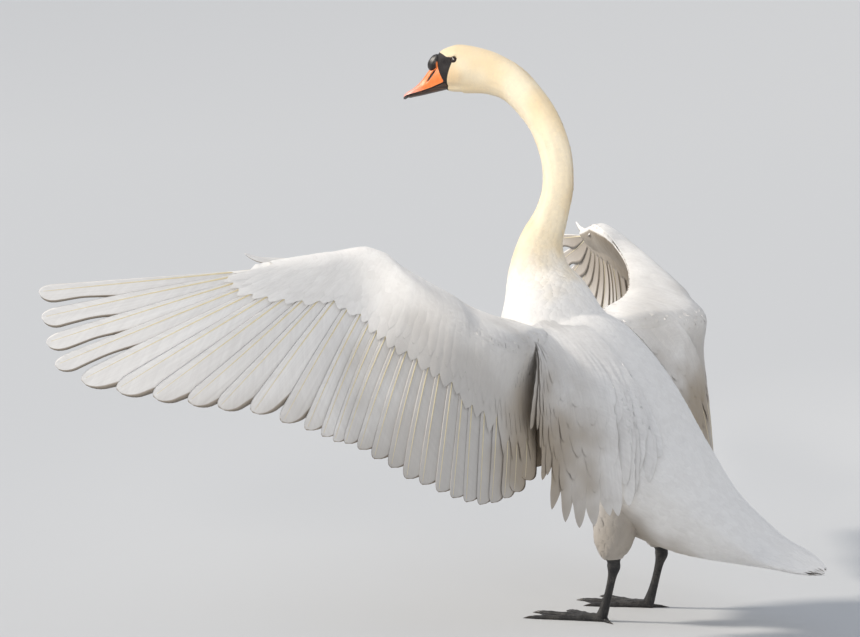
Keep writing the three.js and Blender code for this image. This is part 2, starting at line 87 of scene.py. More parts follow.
right = np.array([-np.cos(VIEW_TURN), -np.sin(VIEW_TURN), 0.0])
level = np.array([np.sin(VIEW_TURN), -np.cos(VIEW_TURN), 0.0])
sight = np.cos(VIEW_RISE) * level - np.array([0, 0, np.sin(VIEW_RISE)])
upright = np.sin(VIEW_RISE) * level + np.array([0, 0, np.cos(VIEW_RISE)])
stand = -(SHOULDER_IN_VIEW[0] * right + SHOULDER_IN_VIEW[1] * upright + VIEW_DISTANCE * sight)
camera = bpy.data.objects.new("camera", bpy.data.cameras.new("camera"))
camera.data.lens = LENS
camera.data.clip_end = 1000.0
aim(camera, turned(right), turned(upright), placed(stand))
bpy.context.scene.camera = camera


LAMP_DISTANCE = 4.0
WARM_LIGHT = (1.0, 0.93, 0.83)
SPOT_LAMPS = [
    # name, the direction it stands in, the point it faces, power, spread in degrees and colour
    ("neck_lamp", (-0.25, 0.90, 0.30), (60, 10, 330), 720.0, 9, WARM_LIGHT),
    ("wing_lamp", (-0.45, 0.85, 0.25), (460, 820, 20), 250.0, 15, (1.0, 0.95, 0.88)),
    ("far_wing_lamp", (-0.30, 0.80, 0.55), (0, -270, 60), 130.0, 6, (1.0, 0.94, 0.86)),
    ("tail_lamp", (-0.75, 0.55, 0.35), (-380, 30, -370), 75.0, 12, (1.0, 0.96, 0.90))]


def lamp(name, kind, direction, towards, power, colour, **settings):
    """A lamp that stands off a point of the bird in a direction and faces it."""
    away = turned(direction) / np.linalg.norm(direction)
    sideways = np.cross([0, 0, 1], away)
    sideways = sideways / np.linalg.norm(sideways)
    light = bpy.data.lights.new(name, kind)
    light.energy = power
    light.color = colour
    for key, value in settings.items():
        setattr(light, key, value)
    fitting = bpy.data.objects.new(name, light)
    aim(fitting, sideways, np.cross(away, sideways), placed(towards) + away * LAMP_DISTANCE)


lamp("key_lamp", "SUN", (0.68, 0.39, 0.62), (0, 0, 0), 2.6, WARM_LIGHT, angle=np.radians(9))
for name, direction, towards, power, spread, colour in SPOT_LAMPS:
    lamp(name, "SPOT", direction, towards, power, colour, spot_size=np.radians(spread), spot_blend=1.0,
         shadow_soft_size=0.3)
world = bpy.data.worlds.new("pale_room")
world.use_nodes = True
sky = world.node_tree.nodes["Background"].inputs
sky["Color"].default_value = (0.86, 0.91, 1.0, 1)
sky["Strength"].default_value = 0.62
bpy.context.scene.world = world
bpy.context.scene.view_settings.view_transform = "Standard"


def mesh_piece(name, vertices, faces):
    """A smooth mesh object from points and groups of faces, each group an array of corner numbers."""
    mesh = bpy.data.meshes.new(name)
    mesh.vertices.add(len(vertices))
    mesh.vertices.foreach_set("co", np.asarray(vertices, np.float32).ravel())
    corners = np.concatenate([group.ravel() for group in faces]).astype(np.int32)
    sizes = np.concatenate([np.full(len(group), group.shape[1]) for group in faces])
    starts = np.concatenate([[0], np.cumsum(sizes)[:-1]]).astype(np.int32)
    mesh.loops.add(len(corners))
    mesh.loops.foreach_set("vertex_index", corners)
    mesh.polygons.add(len(sizes))
    mesh.polygons.foreach_set("loop_start", starts)
    mesh.polygons.foreach_set("use_smooth", np.ones(len(sizes), bool))
    mesh.update(calc_edges=True)
    piece = bpy.data.objects.new(name, mesh)
    bpy.context.scene.collection.objects.link(piece)
    return piece


FLOOR_MIDDLE, FLOOR_FLAT, FLOOR_EDGE, FLOOR_RISE = 0.5, 24.0, 44.0, 8.0
radius = np.linspace(FLOOR_MIDDLE, FLOOR_EDGE, 60)[:, None]
turn = np.linspace(0, 2 * np.pi, 96, endpoint=False)[None]
curl = np.clip((radius - FLOOR_FLAT) / (FLOOR_EDGE - FLOOR_FLAT), 0, 1) ** 2.5 * FLOOR_RISE
disc = np.stack(np.broadcast_arrays(radius * np.cos(turn), radius * np.sin(turn), curl), -1)
number = np.arange(disc.shape[0] * disc.shape[1]).reshape(disc.shape[:2])
beside = np.roll(number, -1, axis=1)
floor = mesh_piece("floor", disc.reshape(-1, 3), [
    np.stack([number[:-1], number[1:], beside[1:], beside[:-1]], -1).reshape(-1, 4), number[:1]])
floor_paint = bpy.data.materials.new("floor_paint")
floor_paint.use_nodes = True
shader = floor_paint.node_tree.nodes["Principled BSDF"].inputs
shader["Base Color"].default_value = (0.60, 0.61, 0.62, 1)
shader["Roughness"].default_value = 0.9
floor.data.materials.append(floor_paint)

# ---------------- skin
# One skin covers the tail stump, trunk, neck, head, thighs and fleshy wings. It lies under the coat,
# a thumb deep on the trunk and thin on the face, and is bare and black only in front of the eyes.
SPINE = np.array([
    # t, F, L, U, half width, height above and depth below the line
    [0.00, -545, 0, -420, 6, 2, 2], [0.02, -520, 0, -414, 46, 5, 6], [0.04, -480, 0, -402, 78, 11, 12],
    [0.07, -430, 0, -385, 80, 20, 32], [0.10, -380, 0, -362, 84, 34, 58],
    [0.15, -315, 0, -324, 98, 46, 99], [0.22, -228, 0, -260, 132, 74, 142],
    [0.32, -130, 0, -172, 148, 108, 156], [0.42, -50, 0, -85, 146, 108, 152],
    [0.50, 10, 0, -20, 124, 92, 122], [0.555, 35, 0, 45, 94, 78, 84], [0.60, 51, 0, 100, 64, 55, 58],
    [0.64, 47, 0, 150, 46, 40, 42], [0.68, 24, 0, 207, 34, 32, 31], [0.72, 12, 0, 262, 30, 30, 29],
    [0.76, 20, 0, 322, 30, 31, 30], [0.80, 48, 0, 381, 30, 32, 31], [0.84, 99, 2, 435, 33, 35, 34],
    [0.88, 150, 7, 461, 34, 39, 40], [0.92, 198, 18, 470, 34, 44, 46], [0.96, 224, 24, 468, 30, 46, 43],
    [1.00, 243, 28.5, 465, 19.5, 38, 38]])
COAT_DEPTH = np.array([[0.0, 2], [0.03, 4], [0.09, 9], [0.2, 12], [0.5, 11], [0.6, 8], [0.68, 6],
                       [0.85, 4.4], [0.93, 2.2], [0.955, 1.3], [1.0, 0.5]])
SKIN_START = 0.03
FACE_START = 0.95
FACE_END = 41.0
FACE = np.array([
    # ahead, half width, crown, widest line and chin
    [-30, 32, 24, -16, -74], [-10, 31.5, 26.5, -17, -68], [0, 30.8, 27, -18, -65.5],
    [10, 29.3, 27.2, -20, -62], [18, 27, 27, -21, -59.5], [26, 24, 26.2, -22, -56.5],
    [32, 21.3, 24.2, -23, -54], [36, 19.4, 20.5, -24, -52], [39, 17.4, 13, -24, -49.5],
    [42.5, 13, 2, -24, -44]])
FACE_SWELLS = [
    # height, then middle and width ahead and above, of the brow, the cheek and the hollow of the lore
    (1.3, 3, 13, 9, 5), (2.2, -10, 22, -32, 14), (-2.4, 22, 9, -4, 9)]
JAW_LINE = np.array([
    # ahead and how high the crease between cheek and throat runs
    [-60, -50], [-39, -57], [-25, -59.5], [-13, -58.5], [8, -52], [29.6, -43.5], [45, -38]])
JAW_CREASE, JAW_ROLL = 3.0, 1.0
HEAD_FROM, FACE_BLEND, SWELL_BLEND = 0.88, (0.925, 0.955), (0.89, 0.93)
HEAD_CENTRE = np.array([215.0, 22.0, 489.0])
HEAD_TURN, HEAD_NOD = np.radians([13.0, 19.0])
EYE = {"ahead": 1.5, "side": 25.0, "above": -1.0, "radius": 6.2}
EYE_RIM, EYE_SOCKET = 1.2, 6.0
LEG = np.array([
    # t, F, L, U, half width, depth in front and behind
    [0.00, -130, 66, -290, 50, 42, 58], [0.25, -158, 82, -345, 40, 40, 48],
    [0.42, -161, 88, -386, 30, 34, 32], [0.50, -160, 89, -405, 22, 22, 20],
    [0.56, -161, 89, -416, 12, 13, 13], [0.64, -161, 89, -428, 10.5, 12, 13],
    [0.72, -158, 88, -443, 7.5, 8, 9], [0.90, -146, 87, -492, 7, 7.5, 8], [1.00, -140, 87, -512, 9, 10, 9],
    [1.07, -137, 87, -524, 9, 14, 9]])
FEATHERED_LEG = 0.535
THIGH_COAT = 9.0
WING = np.array([
    # n, leading edge, quill root and feather tip as F, L, U, then bulge above and below and camber
    [-1, 36, 60, -5, 0, 60, -12, -70, 120, -120, 22, 24, 20],
    [0, 30, 128, 0, -20, 120, -5, -60, 186, -150, 22, 22, 6],
    [3, 18, 205, 20, -55, 225, 0, -116, 300, -226, 24, 20, 8],
    [6, 15, 262, 38, -82, 333, -2, -110, 386, -273, 27, 18, 6],
    [10, 40, 318, 72, -30, 372, 35, -44, 448, -270, 30, 14, 18],
    [16, 105, 378, 123, 55, 392, 88, 109, 513, -190, 27, 12, 28],
    [21, 150, 396, 152, 138, 402, 138, 219, 589, -141, 21, 11, 24],
    [22, 168, 407, 157, 155, 410, 143, 255, 632, -122, 20, 11, 22],
    [25, 212, 460, 151, 193, 455, 138, 368, 760, -88, 17, 10, 18],
    [28, 252, 512, 143, 232, 502, 132, 492, 872, -30, 14, 10, 14],
    [31, 290, 560, 134, 270, 548, 126, 535, 868, 93, 11, 9, 8]], float)
WING_END = 31.2
ARM_REACH = 0.2
ARM_FRONT = 0.3
ARM_ROUND = 0.09
ARM_FULLEST = 1 / 3
ARM_REAR = 0.003
ARM_COAT = 4.0
LEAST_ARM = 0.0012
LORE_EDGE = np.array([
    # above, how far ahead the bare skin's rear edge lies
    [-75.0, 42], [-54, 38], [-42, 32.5], [-33, 28.5], [-23, 22], [-13, 14], [-5, 6.5], [0, 3.2], [4, 4.5],
    [8.5, 14], [16, 22], [24, 31.5], [30, 38], [40, 42]])
HEAD_REACH = 90.0
SIDES = {"left": 1, "right": -1}


def unit(vectors):
    """Each vector divided by its own length."""
    return vectors / np.maximum(np.linalg.norm(vectors, axis=-1, keepdims=True), 1e-12)


def dot(first, second):
    """The sum of two vectors' products, X with X and so on, as a last axis of one number."""
    return np.sum(first * second, -1, keepdims=True)


def along(keys, t):
    """The cubic through a table's rows at t: each end's slope is the mean of its neighbours' slopes,
    weighted by the other neighbour's distance."""
    keys, t = np.asarray(keys, float), np.asarray(t, float)
    place, value = keys[:, 0], keys[:, 1:]
    gap = np.diff(place)
    slope = np.diff(value, axis=0) / gap[:, None]
    tangent = np.concatenate([
        slope[:1],
        (slope[:-1] * gap[1:, None] + slope[1:] * gap[:-1, None]) / (gap[:-1] + gap[1:])[:, None],
        slope[-1:]])
    i = np.clip(np.searchsorted(place, t, side="right") - 1, 0, len(gap) - 1)
    s = ((t - place[i]) / gap[i])[..., None]
    h = gap[i][..., None]
    return ((2 * s ** 3 - 3 * s ** 2 + 1) * value[i] + (s ** 3 - 2 * s ** 2 + s) * h * tangent[i]
            + (3 * s ** 2 - 2 * s ** 3) * value[i + 1] + (s ** 3 - s ** 2) * h * tangent[i + 1])


def smooth_step(low_end, high_end, x):
    """0 below low_end, 1 above high_end and 3x squared minus 2x cubed between them."""
    share = np.clip((x - low_end) / (high_end - low_end), 0, 1)
    return share * share * (3 - 2 * share)


def line_frame(keys, t):
    """The way across a table's line at t and the way out of its back, both square to the line, whose
    own way is taken from just before t to just after it."""
    step = 0.001
    tangent = unit(along(keys, t + step)[..., :3] - along(keys, t - step)[..., :3])
    back = np.stack([-tangent[..., 2], 0 * tangent[..., 0], tangent[..., 0]], -1)
    across = unit(np.cross(back, tangent))
    return across, np.cross(tangent, across)


def oval(keys, t, angle, grow=0.0, side=1):
    """A point round a limb, in F, L, U: half width times sine across the line, height above or depth
    below times cosine square to it. Angle 0 is the back and a quarter turn is the bird's left."""
    row = along(keys, t)
    across, back = line_frame(keys, t)
    height = (np.where(np.cos(angle) > 0, row[..., 4], row[..., 5]) + grow) * np.cos(angle)
    half = (row[..., 3] + grow) * np.sin(angle)
    return (row[..., :3] + across * half[..., None] + back * height[..., None]) * [1, side, 1]


face_forward = np.array([np.cos(HEAD_TURN) * np.cos(HEAD_NOD), np.sin(HEAD_TURN) * np.cos(HEAD_NOD),
                         -np.sin(HEAD_NOD)])
face_left = np.array([-np.sin(HEAD_TURN), np.cos(HEAD_TURN), 0.0])
FACE_AXES = np.stack([face_forward, face_left, np.cross(face_forward, face_left)])


def face(ahead, sideways, above):
    """Head measures ahead, to the left and above the point between the eyes as F, L, U."""
    return HEAD_CENTRE + np.stack(np.broadcast_arrays(ahead, sideways, above), -1) @ FACE_AXES


def on_face(points):
    """F, L, U points as head measures ahead, to the left and above."""
    return (points - HEAD_CENTRE) @ FACE_AXES.T


def bell(x, middle, width):
    """A smooth bump of height 1 at middle that fades over width."""
    return np.exp(-((x - middle) / width) ** 2)


def body(t, angle, grow):
    """The trunk, neck and head at t along the spine and angle round it, in F, L, U. The oval passes into
    the head's own sections before the eye, and brow, cheek, jaw, lore and eye socket swell or sink it."""
    grow = np.broadcast_to(grow, np.shape(t))
    point = oval(SPINE, t, angle, grow)
    if np.max(t) < HEAD_FROM:
        return point
    start = on_face(oval(SPINE, np.minimum(t, FACE_START), angle, grow))[..., 0]
    ahead = start + (FACE_END - start) * np.clip((t - FACE_START) / (1 - FACE_START), 0, 1)
    half, crown, middle, chin = np.moveaxis(along(FACE, np.clip(ahead, -30, 42.5)), -1, 0)
    reach = np.where(np.cos(angle) > 0, crown - middle, middle - chin) + grow
    head = face(ahead, (half + grow) * np.sin(angle), middle + reach * np.cos(angle))
    point = point + (head - point) * smooth_step(*FACE_BLEND, t)[..., None]
    ahead, sideways, above = np.moveaxis(on_face(point), -1, 0)
    swell = sum(height * bell(ahead, middle_ahead, length) * bell(above, middle_above, tall)
                for height, middle_ahead, length, middle_above, tall in FACE_SWELLS)
    jaw = along(JAW_LINE, np.clip(ahead, -60, 45))[..., 0]
    swell -= JAW_CREASE * bell(above, jaw, 4) * smooth_step(-58, -35, ahead)
    swell += JAW_ROLL * bell(above, jaw - 8, 5)
    round_eye = np.hypot(ahead - EYE["ahead"], above - EYE["above"])
    swell += EYE_RIM * bell(round_eye, 0, 9) - EYE_SOCKET * smooth_step(EYE["radius"], 3.6, round_eye)
    near = smooth_step(*SWELL_BLEND, t)
    return face(ahead, sideways + np.tanh(sideways / 6) * swell * near, above)


def on_side(row, side, *columns):
    """The F, L, U points that start at each of these columns of a table's rows, as model points, with
    the right side's mirrored from the left's."""
    return [placed(row[..., i:i + 3] * [1, side, 1]) for i in columns]


def upper_side(pitch, line):
    """The direction square to the feathers' lines and to the way from one to the next, on the side that
    looks back and up."""
    upper = unit(np.cross(pitch, line))
    return np.where(upper[..., 1:2] < 0, -upper, upper)


def wing_at(n, side):
    """The wing at feather count n: leading edge, quill root, feather tip and the direction out of its
    upper side, in metres. That direction is square to the root line and to the feather."""
    row = along(WING, n)
    lead, root, tip = on_side(row, side, 0, 3, 6)
    near, far = (on_side(along(WING, n + way), side, 3)[0] for way in (-0.5, 0.5))
    above, below, camber = (row[..., i:i + 1] * 0.001 for i in (9, 10, 11))
    return {"lead": lead, "root": root, "tip": tip, "upper": upper_side(far - near, tip - root),
            "above": above, "below": below, "camber": camber}


def quill_line(wing, s):
    """A feather's line from root to tip, arched by four times camber times s times 1 minus s."""
    s = np.asarray(s, float)[..., None]
    return wing["root"] + (wing["tip"] - wing["root"]) * s + wing["upper"] * wing["camber"] * 4 * s * (1 - s)


def arm_line(wing, q):
    """The middle of the wing's thickness at share q: straight from the leading edge to the quill roots,
    then along the quills, with the bend between them rounded as log of 1 plus exp of the distance is."""
    past = (q - ARM_FRONT) / ARM_ROUND
    before = ARM_ROUND * np.log1p(np.exp(-np.clip(np.abs(past), 0, 30)))
    after = np.maximum(q - ARM_FRONT, 0) + before
    before = np.minimum(q - ARM_FRONT, 0) - before
    front = np.clip(1 + before / ARM_FRONT, 0, 1)[..., None]
    rear = quill_line(wing, ARM_REACH * after / (1 - ARM_FRONT)) - wing["root"]
    return wing["lead"] + (wing["root"] - wing["lead"]) * front + rear


def fullness(share):
    """How full the fleshy wing is at a share of its depth: 2.6 times the root of the share times 1 minus
    it, which comes to 1 where the wing is fullest, a third of the way back."""
    return 2.6 * np.sqrt(share) * (1 - share)


def arm_wall(n, q, side, face_sign):
    """The fleshy wing's skin at share q from its leading edge: the mean line, plus the bulge times its
    fullness and a thin rear, less the coat's depth."""
    wing = wing_at(n, side)
    bulge = wing["above"] if face_sign > 0 else wing["below"]
    share = np.clip(q, 0, 1)[..., None]
    thick = bulge * fullness(share) + ARM_REAR * share - ARM_COAT * 0.001
    return arm_line(wing, q) + wing["upper"] * face_sign * thick


def tube(rings):
    """Corner numbers for tubes of rings joined one to the next, with a face over each end ring. Points
    are numbered tube by tube and ring by ring, and the faces look outwards, as the volume's sign says."""
    tubes, steps, sides = rings.shape[:3]
    number = np.arange(tubes * steps * sides).reshape(tubes, steps, sides)
    after = np.roll(number, -1, axis=2)
    walls = np.stack([number[:, :-1], after[:, :-1], after[:, 1:], number[:, 1:]], -1).reshape(-1, 4)
    ends = np.concatenate([number[:, 0, ::-1], number[:, -1]])
    points = (rings - rings.mean((1, 2), keepdims=True)).reshape(-1, 3)
    a, b, c, d = (points[walls[:, i]] for i in range(4))
    volume = np.sum(a * np.cross(b, c)) + np.sum(a * np.cross(c, d))
    if volume < 0:
        return [walls[:, ::-1], ends[:, ::-1]]
    return [walls, ends]


def tubes_piece(name, rings):
    """Closed tubes as one mesh object."""
    return mesh_piece(name, rings.reshape(-1, 3), tube(rings))


def closed_piece(name, rings):
    """One closed tube as a mesh object."""
    return tubes_piece(name, rings[None])


def around(stations, sides):
    """A grid of stations along a limb and angles round it, a full turn in equal steps."""
    return np.meshgrid(stations, np.linspace(0, 2 * np.pi, sides, False), indexing="ij")


stations = np.concatenate([np.linspace(SKIN_START, 0.6, 60), np.linspace(0.6, HEAD_FROM, 60)[1:],
                           np.linspace(HEAD_FROM, 1.0, 100)[1:]])
t, angle = around(stations, 144)
skin = closed_piece("skin", placed(body(t, angle, -along(COAT_DEPTH, t)[..., 0])))
limbs = []
for hand, side in SIDES.items():
    t, angle = around(np.linspace(-0.2, FEATHERED_LEG, 24), 40)
    slim = -THIGH_COAT * smooth_step(FEATHERED_LEG, 0.3, t)
    limbs.append(closed_piece("thigh_skin_" + hand, placed(oval(LEG, t, angle, slim, side))))
    n, q = np.meshgrid(np.linspace(-1, WING_END, 90), np.linspace(0.02, 0.96, 16) ** 1.5, indexing="ij")
    roof, keel = (arm_wall(n, q, side, face_sign) for face_sign in (1, -1))
    upper = wing_at(n, side)["upper"]
    thin = np.maximum(LEAST_ARM - dot(roof - keel, upper), 0) / 2 * upper
    rings = np.concatenate([roof + thin, (keel - thin)[:, ::-1]], 1)
    limbs.append(closed_piece("arm_skin_" + hand, rings))
for limb in limbs:
    union = skin.modifiers.new(limb.name, "BOOLEAN")
    union.operation = "UNION"
    union.solver = "MANIFOLD"
    union.object = limb
joined = skin.evaluated_get(bpy.context.evaluated_depsgraph_get())
skin_mesh = bpy.data.meshes.new_from_object(joined)
skin.modifiers.clear()
skin.data = skin_mesh
for limb in limbs:
    bpy.data.objects.remove(limb)


def head_measures(points):
    """Model points in metres as head measures in millimetres: ahead, to the left and above."""
    p = (points - ORIGIN) * 1000
    return np.moveaxis(on_face(np.stack([-p[..., 1], p[..., 0], p[..., 2]], -1)), -1, 0)


def bare_depth(points):
    """How far a point in metres lies inside the bare skin before the eye, in millimetres, under zero on
    the feathered side: its distance ahead of the edge table's line, near the head only."""
    ahead, sideways, above = head_measures(points)
    beyond = ahead - along(LORE_EDGE, np.clip(above, -74, 39))[..., 0]
    return np.minimum(beyond, HEAD_REACH - np.hypot(ahead, np.hypot(sideways, above)))


def point_values(piece, name, values):
    """Stores one number for each point of a piece, for its material to read."""
    layer = piece.data.attributes.new(name, "FLOAT", "POINT")
    layer.data.foreach_set("value", np.asarray(values, np.float32).ravel())


def points_of(piece):
    """A piece's points as rows of X, Y and Z."""
    flat = np.empty(len(piece.data.vertices) * 3, np.float32)
    piece.data.vertices.foreach_get("co", flat)
    return flat.reshape(-1, 3).astype(float)


class Paint:
    """A node tree in the making: add() places a node with its settings and feeds, and gives its outputs."""

    def __init__(self, tree):
        self.tree = tree

    def add(self, kind, *feeds, output=0, **settings):
        """One node. feeds go to its inputs in order, as numbers or as another node's output. A setting
        goes to the node, or, where the node has no such setting, to the input of that name."""
        node = self.tree.nodes.new("ShaderNode" + kind)
        for key, value in settings.items():
            if hasattr(node, key):
                setattr(node, key, value)
            else:
                self.feed(node.inputs[key.replace("_", " ")], value)
        for i, value in enumerate(feeds):
            self.feed(node.inputs[i], value)
        return node.outputs[output]

    def feed(self, socket, value):
        """Puts a number or colour on a socket, or joins another node's output to it."""
        if isinstance(value, bpy.types.NodeSocket):
            self.tree.links.new(value, socket)
        else:
            socket.default_value = value

    def stored(self, name):
        """The number that a mesh keeps for each point under this name."""
        return self.add("Attribute", attribute_name=name, output=2)

    def part(self, vector, axis):
        """X, Y or Z of a vector, as axis 0, 1 or 2."""
        return self.add("SeparateXYZ", vector, output=axis)

    def math(self, operation, *feeds):
        """One sum of the Math node."""
        return self.add("Math", *feeds, operation=operation)

    def times(self, first, second):
        """First times second."""
        return self.math("MULTIPLY", first, second)

    def plus(self, first, second):
        """First plus second."""
        return self.math("ADD", first, second)

    def ramp(self, value, low_end, high_end, low_value=0.0, high_value=1.0):
        """Smoothly from low_value to high_value as value goes from low_end to high_end."""
        return self.add("MapRange", value, low_end, high_end, low_value, high_value,
                        interpolation_type="SMOOTHSTEP")

    def mix(self, share, first, second, blend="MIX"):
        """From the first colour at share 0 to the second at share 1."""
        node = self.tree.nodes.new("ShaderNodeMix")
        node.data_type = "RGBA"
        node.blend_type = blend
        self.feed(node.inputs[0], share)
        self.feed(node.inputs[6], first)
        self.feed(node.inputs[7], second)
        return node.outputs[2]

    def noise(self, vector, scale, detail=2.0, roughness=0.5):
        """Soft noise about 0.5, with scale lumps to a metre."""
        return self.add("TexNoise", Vector=vector, Scale=scale, Detail=detail, Roughness=roughness)

    def place(self):
        """The point's own place on the model, in metres."""
        return self.add("TexCoord", output=3)

    def cover(self, shader, colour, relief, strength, depth):
        """Joins a colour and a relief, depth metres deep, to a finish's shader."""
        self.feed(shader["Base Color"], colour)
        self.feed(shader["Normal"], self.add("Bump", Strength=strength, Distance=depth, Height=relief))


def effect(name, inputs, outputs):
    """A node group for an effect that several finishes share, with named inputs and outputs. Gives the
    group, its paint, what it is given and what it puts out."""
    group = bpy.data.node_groups.new(name, "ShaderNodeTree")
    for socket, kind, value in inputs:
        made = group.interface.new_socket(socket, in_out="INPUT", socket_type="NodeSocket" + kind)
        made.default_value = value
    for socket, kind in outputs:
        group.interface.new_socket(socket, in_out="OUTPUT", socket_type="NodeSocket" + kind)
    paint = Paint(group)
    return group, paint, group.nodes.new("NodeGroupInput").outputs, group.nodes.new("NodeGroupOutput").inputs


def finish(name, **constants):
    """A material with its shader's fixed values set, and the paint and shader to feed."""
    material = bpy.data.materials.new(name)
    material.use_nodes = True
    shader = material.node_tree.nodes["Principled BSDF"].inputs
    for key, value in constants.items():
        shader[key.replace("_", " ")].default_value = value
    return material, Paint(material.node_tree), shader


def rgb(*levels):
    """Screen levels of red, green and blue from 0 to 255 as the light they stand for."""
    value = np.array(levels) / 255
    linear = np.where(value < 0.04045, value / 12.92, ((value + 0.055) / 1.055) ** 2.4)
    return (*linear.tolist(), 1.0)


# The colours of skin and coat: white, warming to cream and ochre up the neck and on the head. Painted grey
# shade lies over the inner half of each wing and painted brownish shade in its inner lobe, and a greyish
# brown on thighs and vent is partly dirt and partly painted shade under the body.
markings_and_shade, paint, given, out = effect("swan_markings_and_shade", [], [("Color", "Color")])
place = paint.place()
mottle = paint.noise(place, 22.0, 3.0)
blotch = paint.noise(place, 9.0)
height = paint.plus(paint.part(place, 2), paint.times(paint.math("SUBTRACT", mottle, 0.5), 0.12))
cream = paint.mix(paint.ramp(blotch, 0.35, 0.65), rgb(240, 227, 200), rgb(231, 209, 169))
from_middle = paint.math("ABSOLUTE", paint.part(place, 0))
near_neck = paint.times(paint.ramp(height, 0.57, 0.70), paint.ramp(from_middle, 0.24, 0.12))
coat = paint.mix(near_neck, rgb(243, 241, 238), cream)


def stain_and_shade(coat, centre, radius, colour, strength):
    """Tints the coat round a point, fading to nothing at the radius and broken by the blotches. It
    tints with real colour and with painted shade alike.
    """
    offset = paint.add("VectorMath", place, tuple(placed(centre)), operation="SUBTRACT")
    distance = paint.add("VectorMath", offset, operation="LENGTH", output=1)
    distance = paint.plus(distance, paint.times(paint.math("SUBTRACT", blotch, 0.5), radius))
    return paint.mix(paint.times(paint.ramp(distance, radius, radius * 0.3), strength), coat, colour)


for side in SIDES.values():
    # Painted shade: grey over the inner half of each wing, whose upper face turns away from the light.
    coat = stain_and_shade(coat, [-60, 400 * side, -190], 0.36, rgb(196, 191, 184), 0.75)
    # Painted shade: brownish grey in the wing's inner lobe, where tertials and inner secondaries turn from
    # the light.
    coat = stain_and_shade(coat, [-110, 295 * side, -205], 0.17, rgb(160, 143, 118), 0.85)
    # Greyish brown on each thigh: partly dirt, partly painted shade under the body.
    coat = stain_and_shade(coat, [-160, 88 * side, -380], 0.12, rgb(150, 138, 122), 0.8)
# Greyish brown at the vent: partly dirt, partly painted shade under the body.
coat = stain_and_shade(coat, [-230, 0, -400], 0.13, rgb(170, 158, 142), 0.7)
coat = stain_and_shade(coat, [215, 60, 455], 0.035, rgb(220, 186, 136), 0.6)
coat = stain_and_shade(coat, [160, 30, 500], 0.05, rgb(228, 200, 156), 0.3)
paint.feed(out["Color"], coat)

skin_finish, paint, shader = finish("swan_skin", Roughness=0.6, Specular_IOR_Level=0.3)
coat_colour = paint.add("Group", node_tree=markings_and_shade)
place = paint.place()
creases = paint.add("TexVoronoi", Vector=place, Scale=520.0, feature="DISTANCE_TO_EDGE", output=0)
leather = paint.noise(place, 900.0, 3.0)
black = paint.mix(paint.ramp(leather, 0.3, 0.7), rgb(24, 22, 23), rgb(46, 42, 42))
colour = paint.mix(paint.ramp(paint.stored("bare"), -0.6, 0.4), coat_colour, black)
paint.cover(shader, colour, paint.plus(creases, leather), 0.25, 0.0006)
skin.data.materials.clear()
skin.data.materials.append(skin_finish)
point_values(skin, "bare", bare_depth(points_of(skin)))
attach(skin, "root")
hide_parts("tail", "trunk", "neck_lower", "neck_upper", "head")
for hand in SIDES:
    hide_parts(*(part + hand for part in ("thigh_", "upper_arm_", "forearm_", "hand_")))

# ---------------- eyes and lids
# Small dark brown eyes look sideways from the front of the head. Two bare black lids, thick at their
# rims and drawn out to a corner before and behind, close over each ball.
LID_OPENING, LID_WIDTH, LID_CORNER = 4.2, 2.1, 0.22
LID_SLANT = np.radians(12)
LID_PROUD, LID_REAR, LID_INSIDE = 29.75, 26.0, 27.2


def face_metres(ahead, sideways, above):
    """Head measures in millimetres as model points in metres."""
    return placed(face(ahead, sideways, above))


def dress(piece, material, slot, *nodes):
    """Gives a finished piece its material and body, and hides the nodes that it stands for. slot is not used.
    """
    piece.data.materials.append(material)
    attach(piece, "root")
    if nodes:
        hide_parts(*nodes)


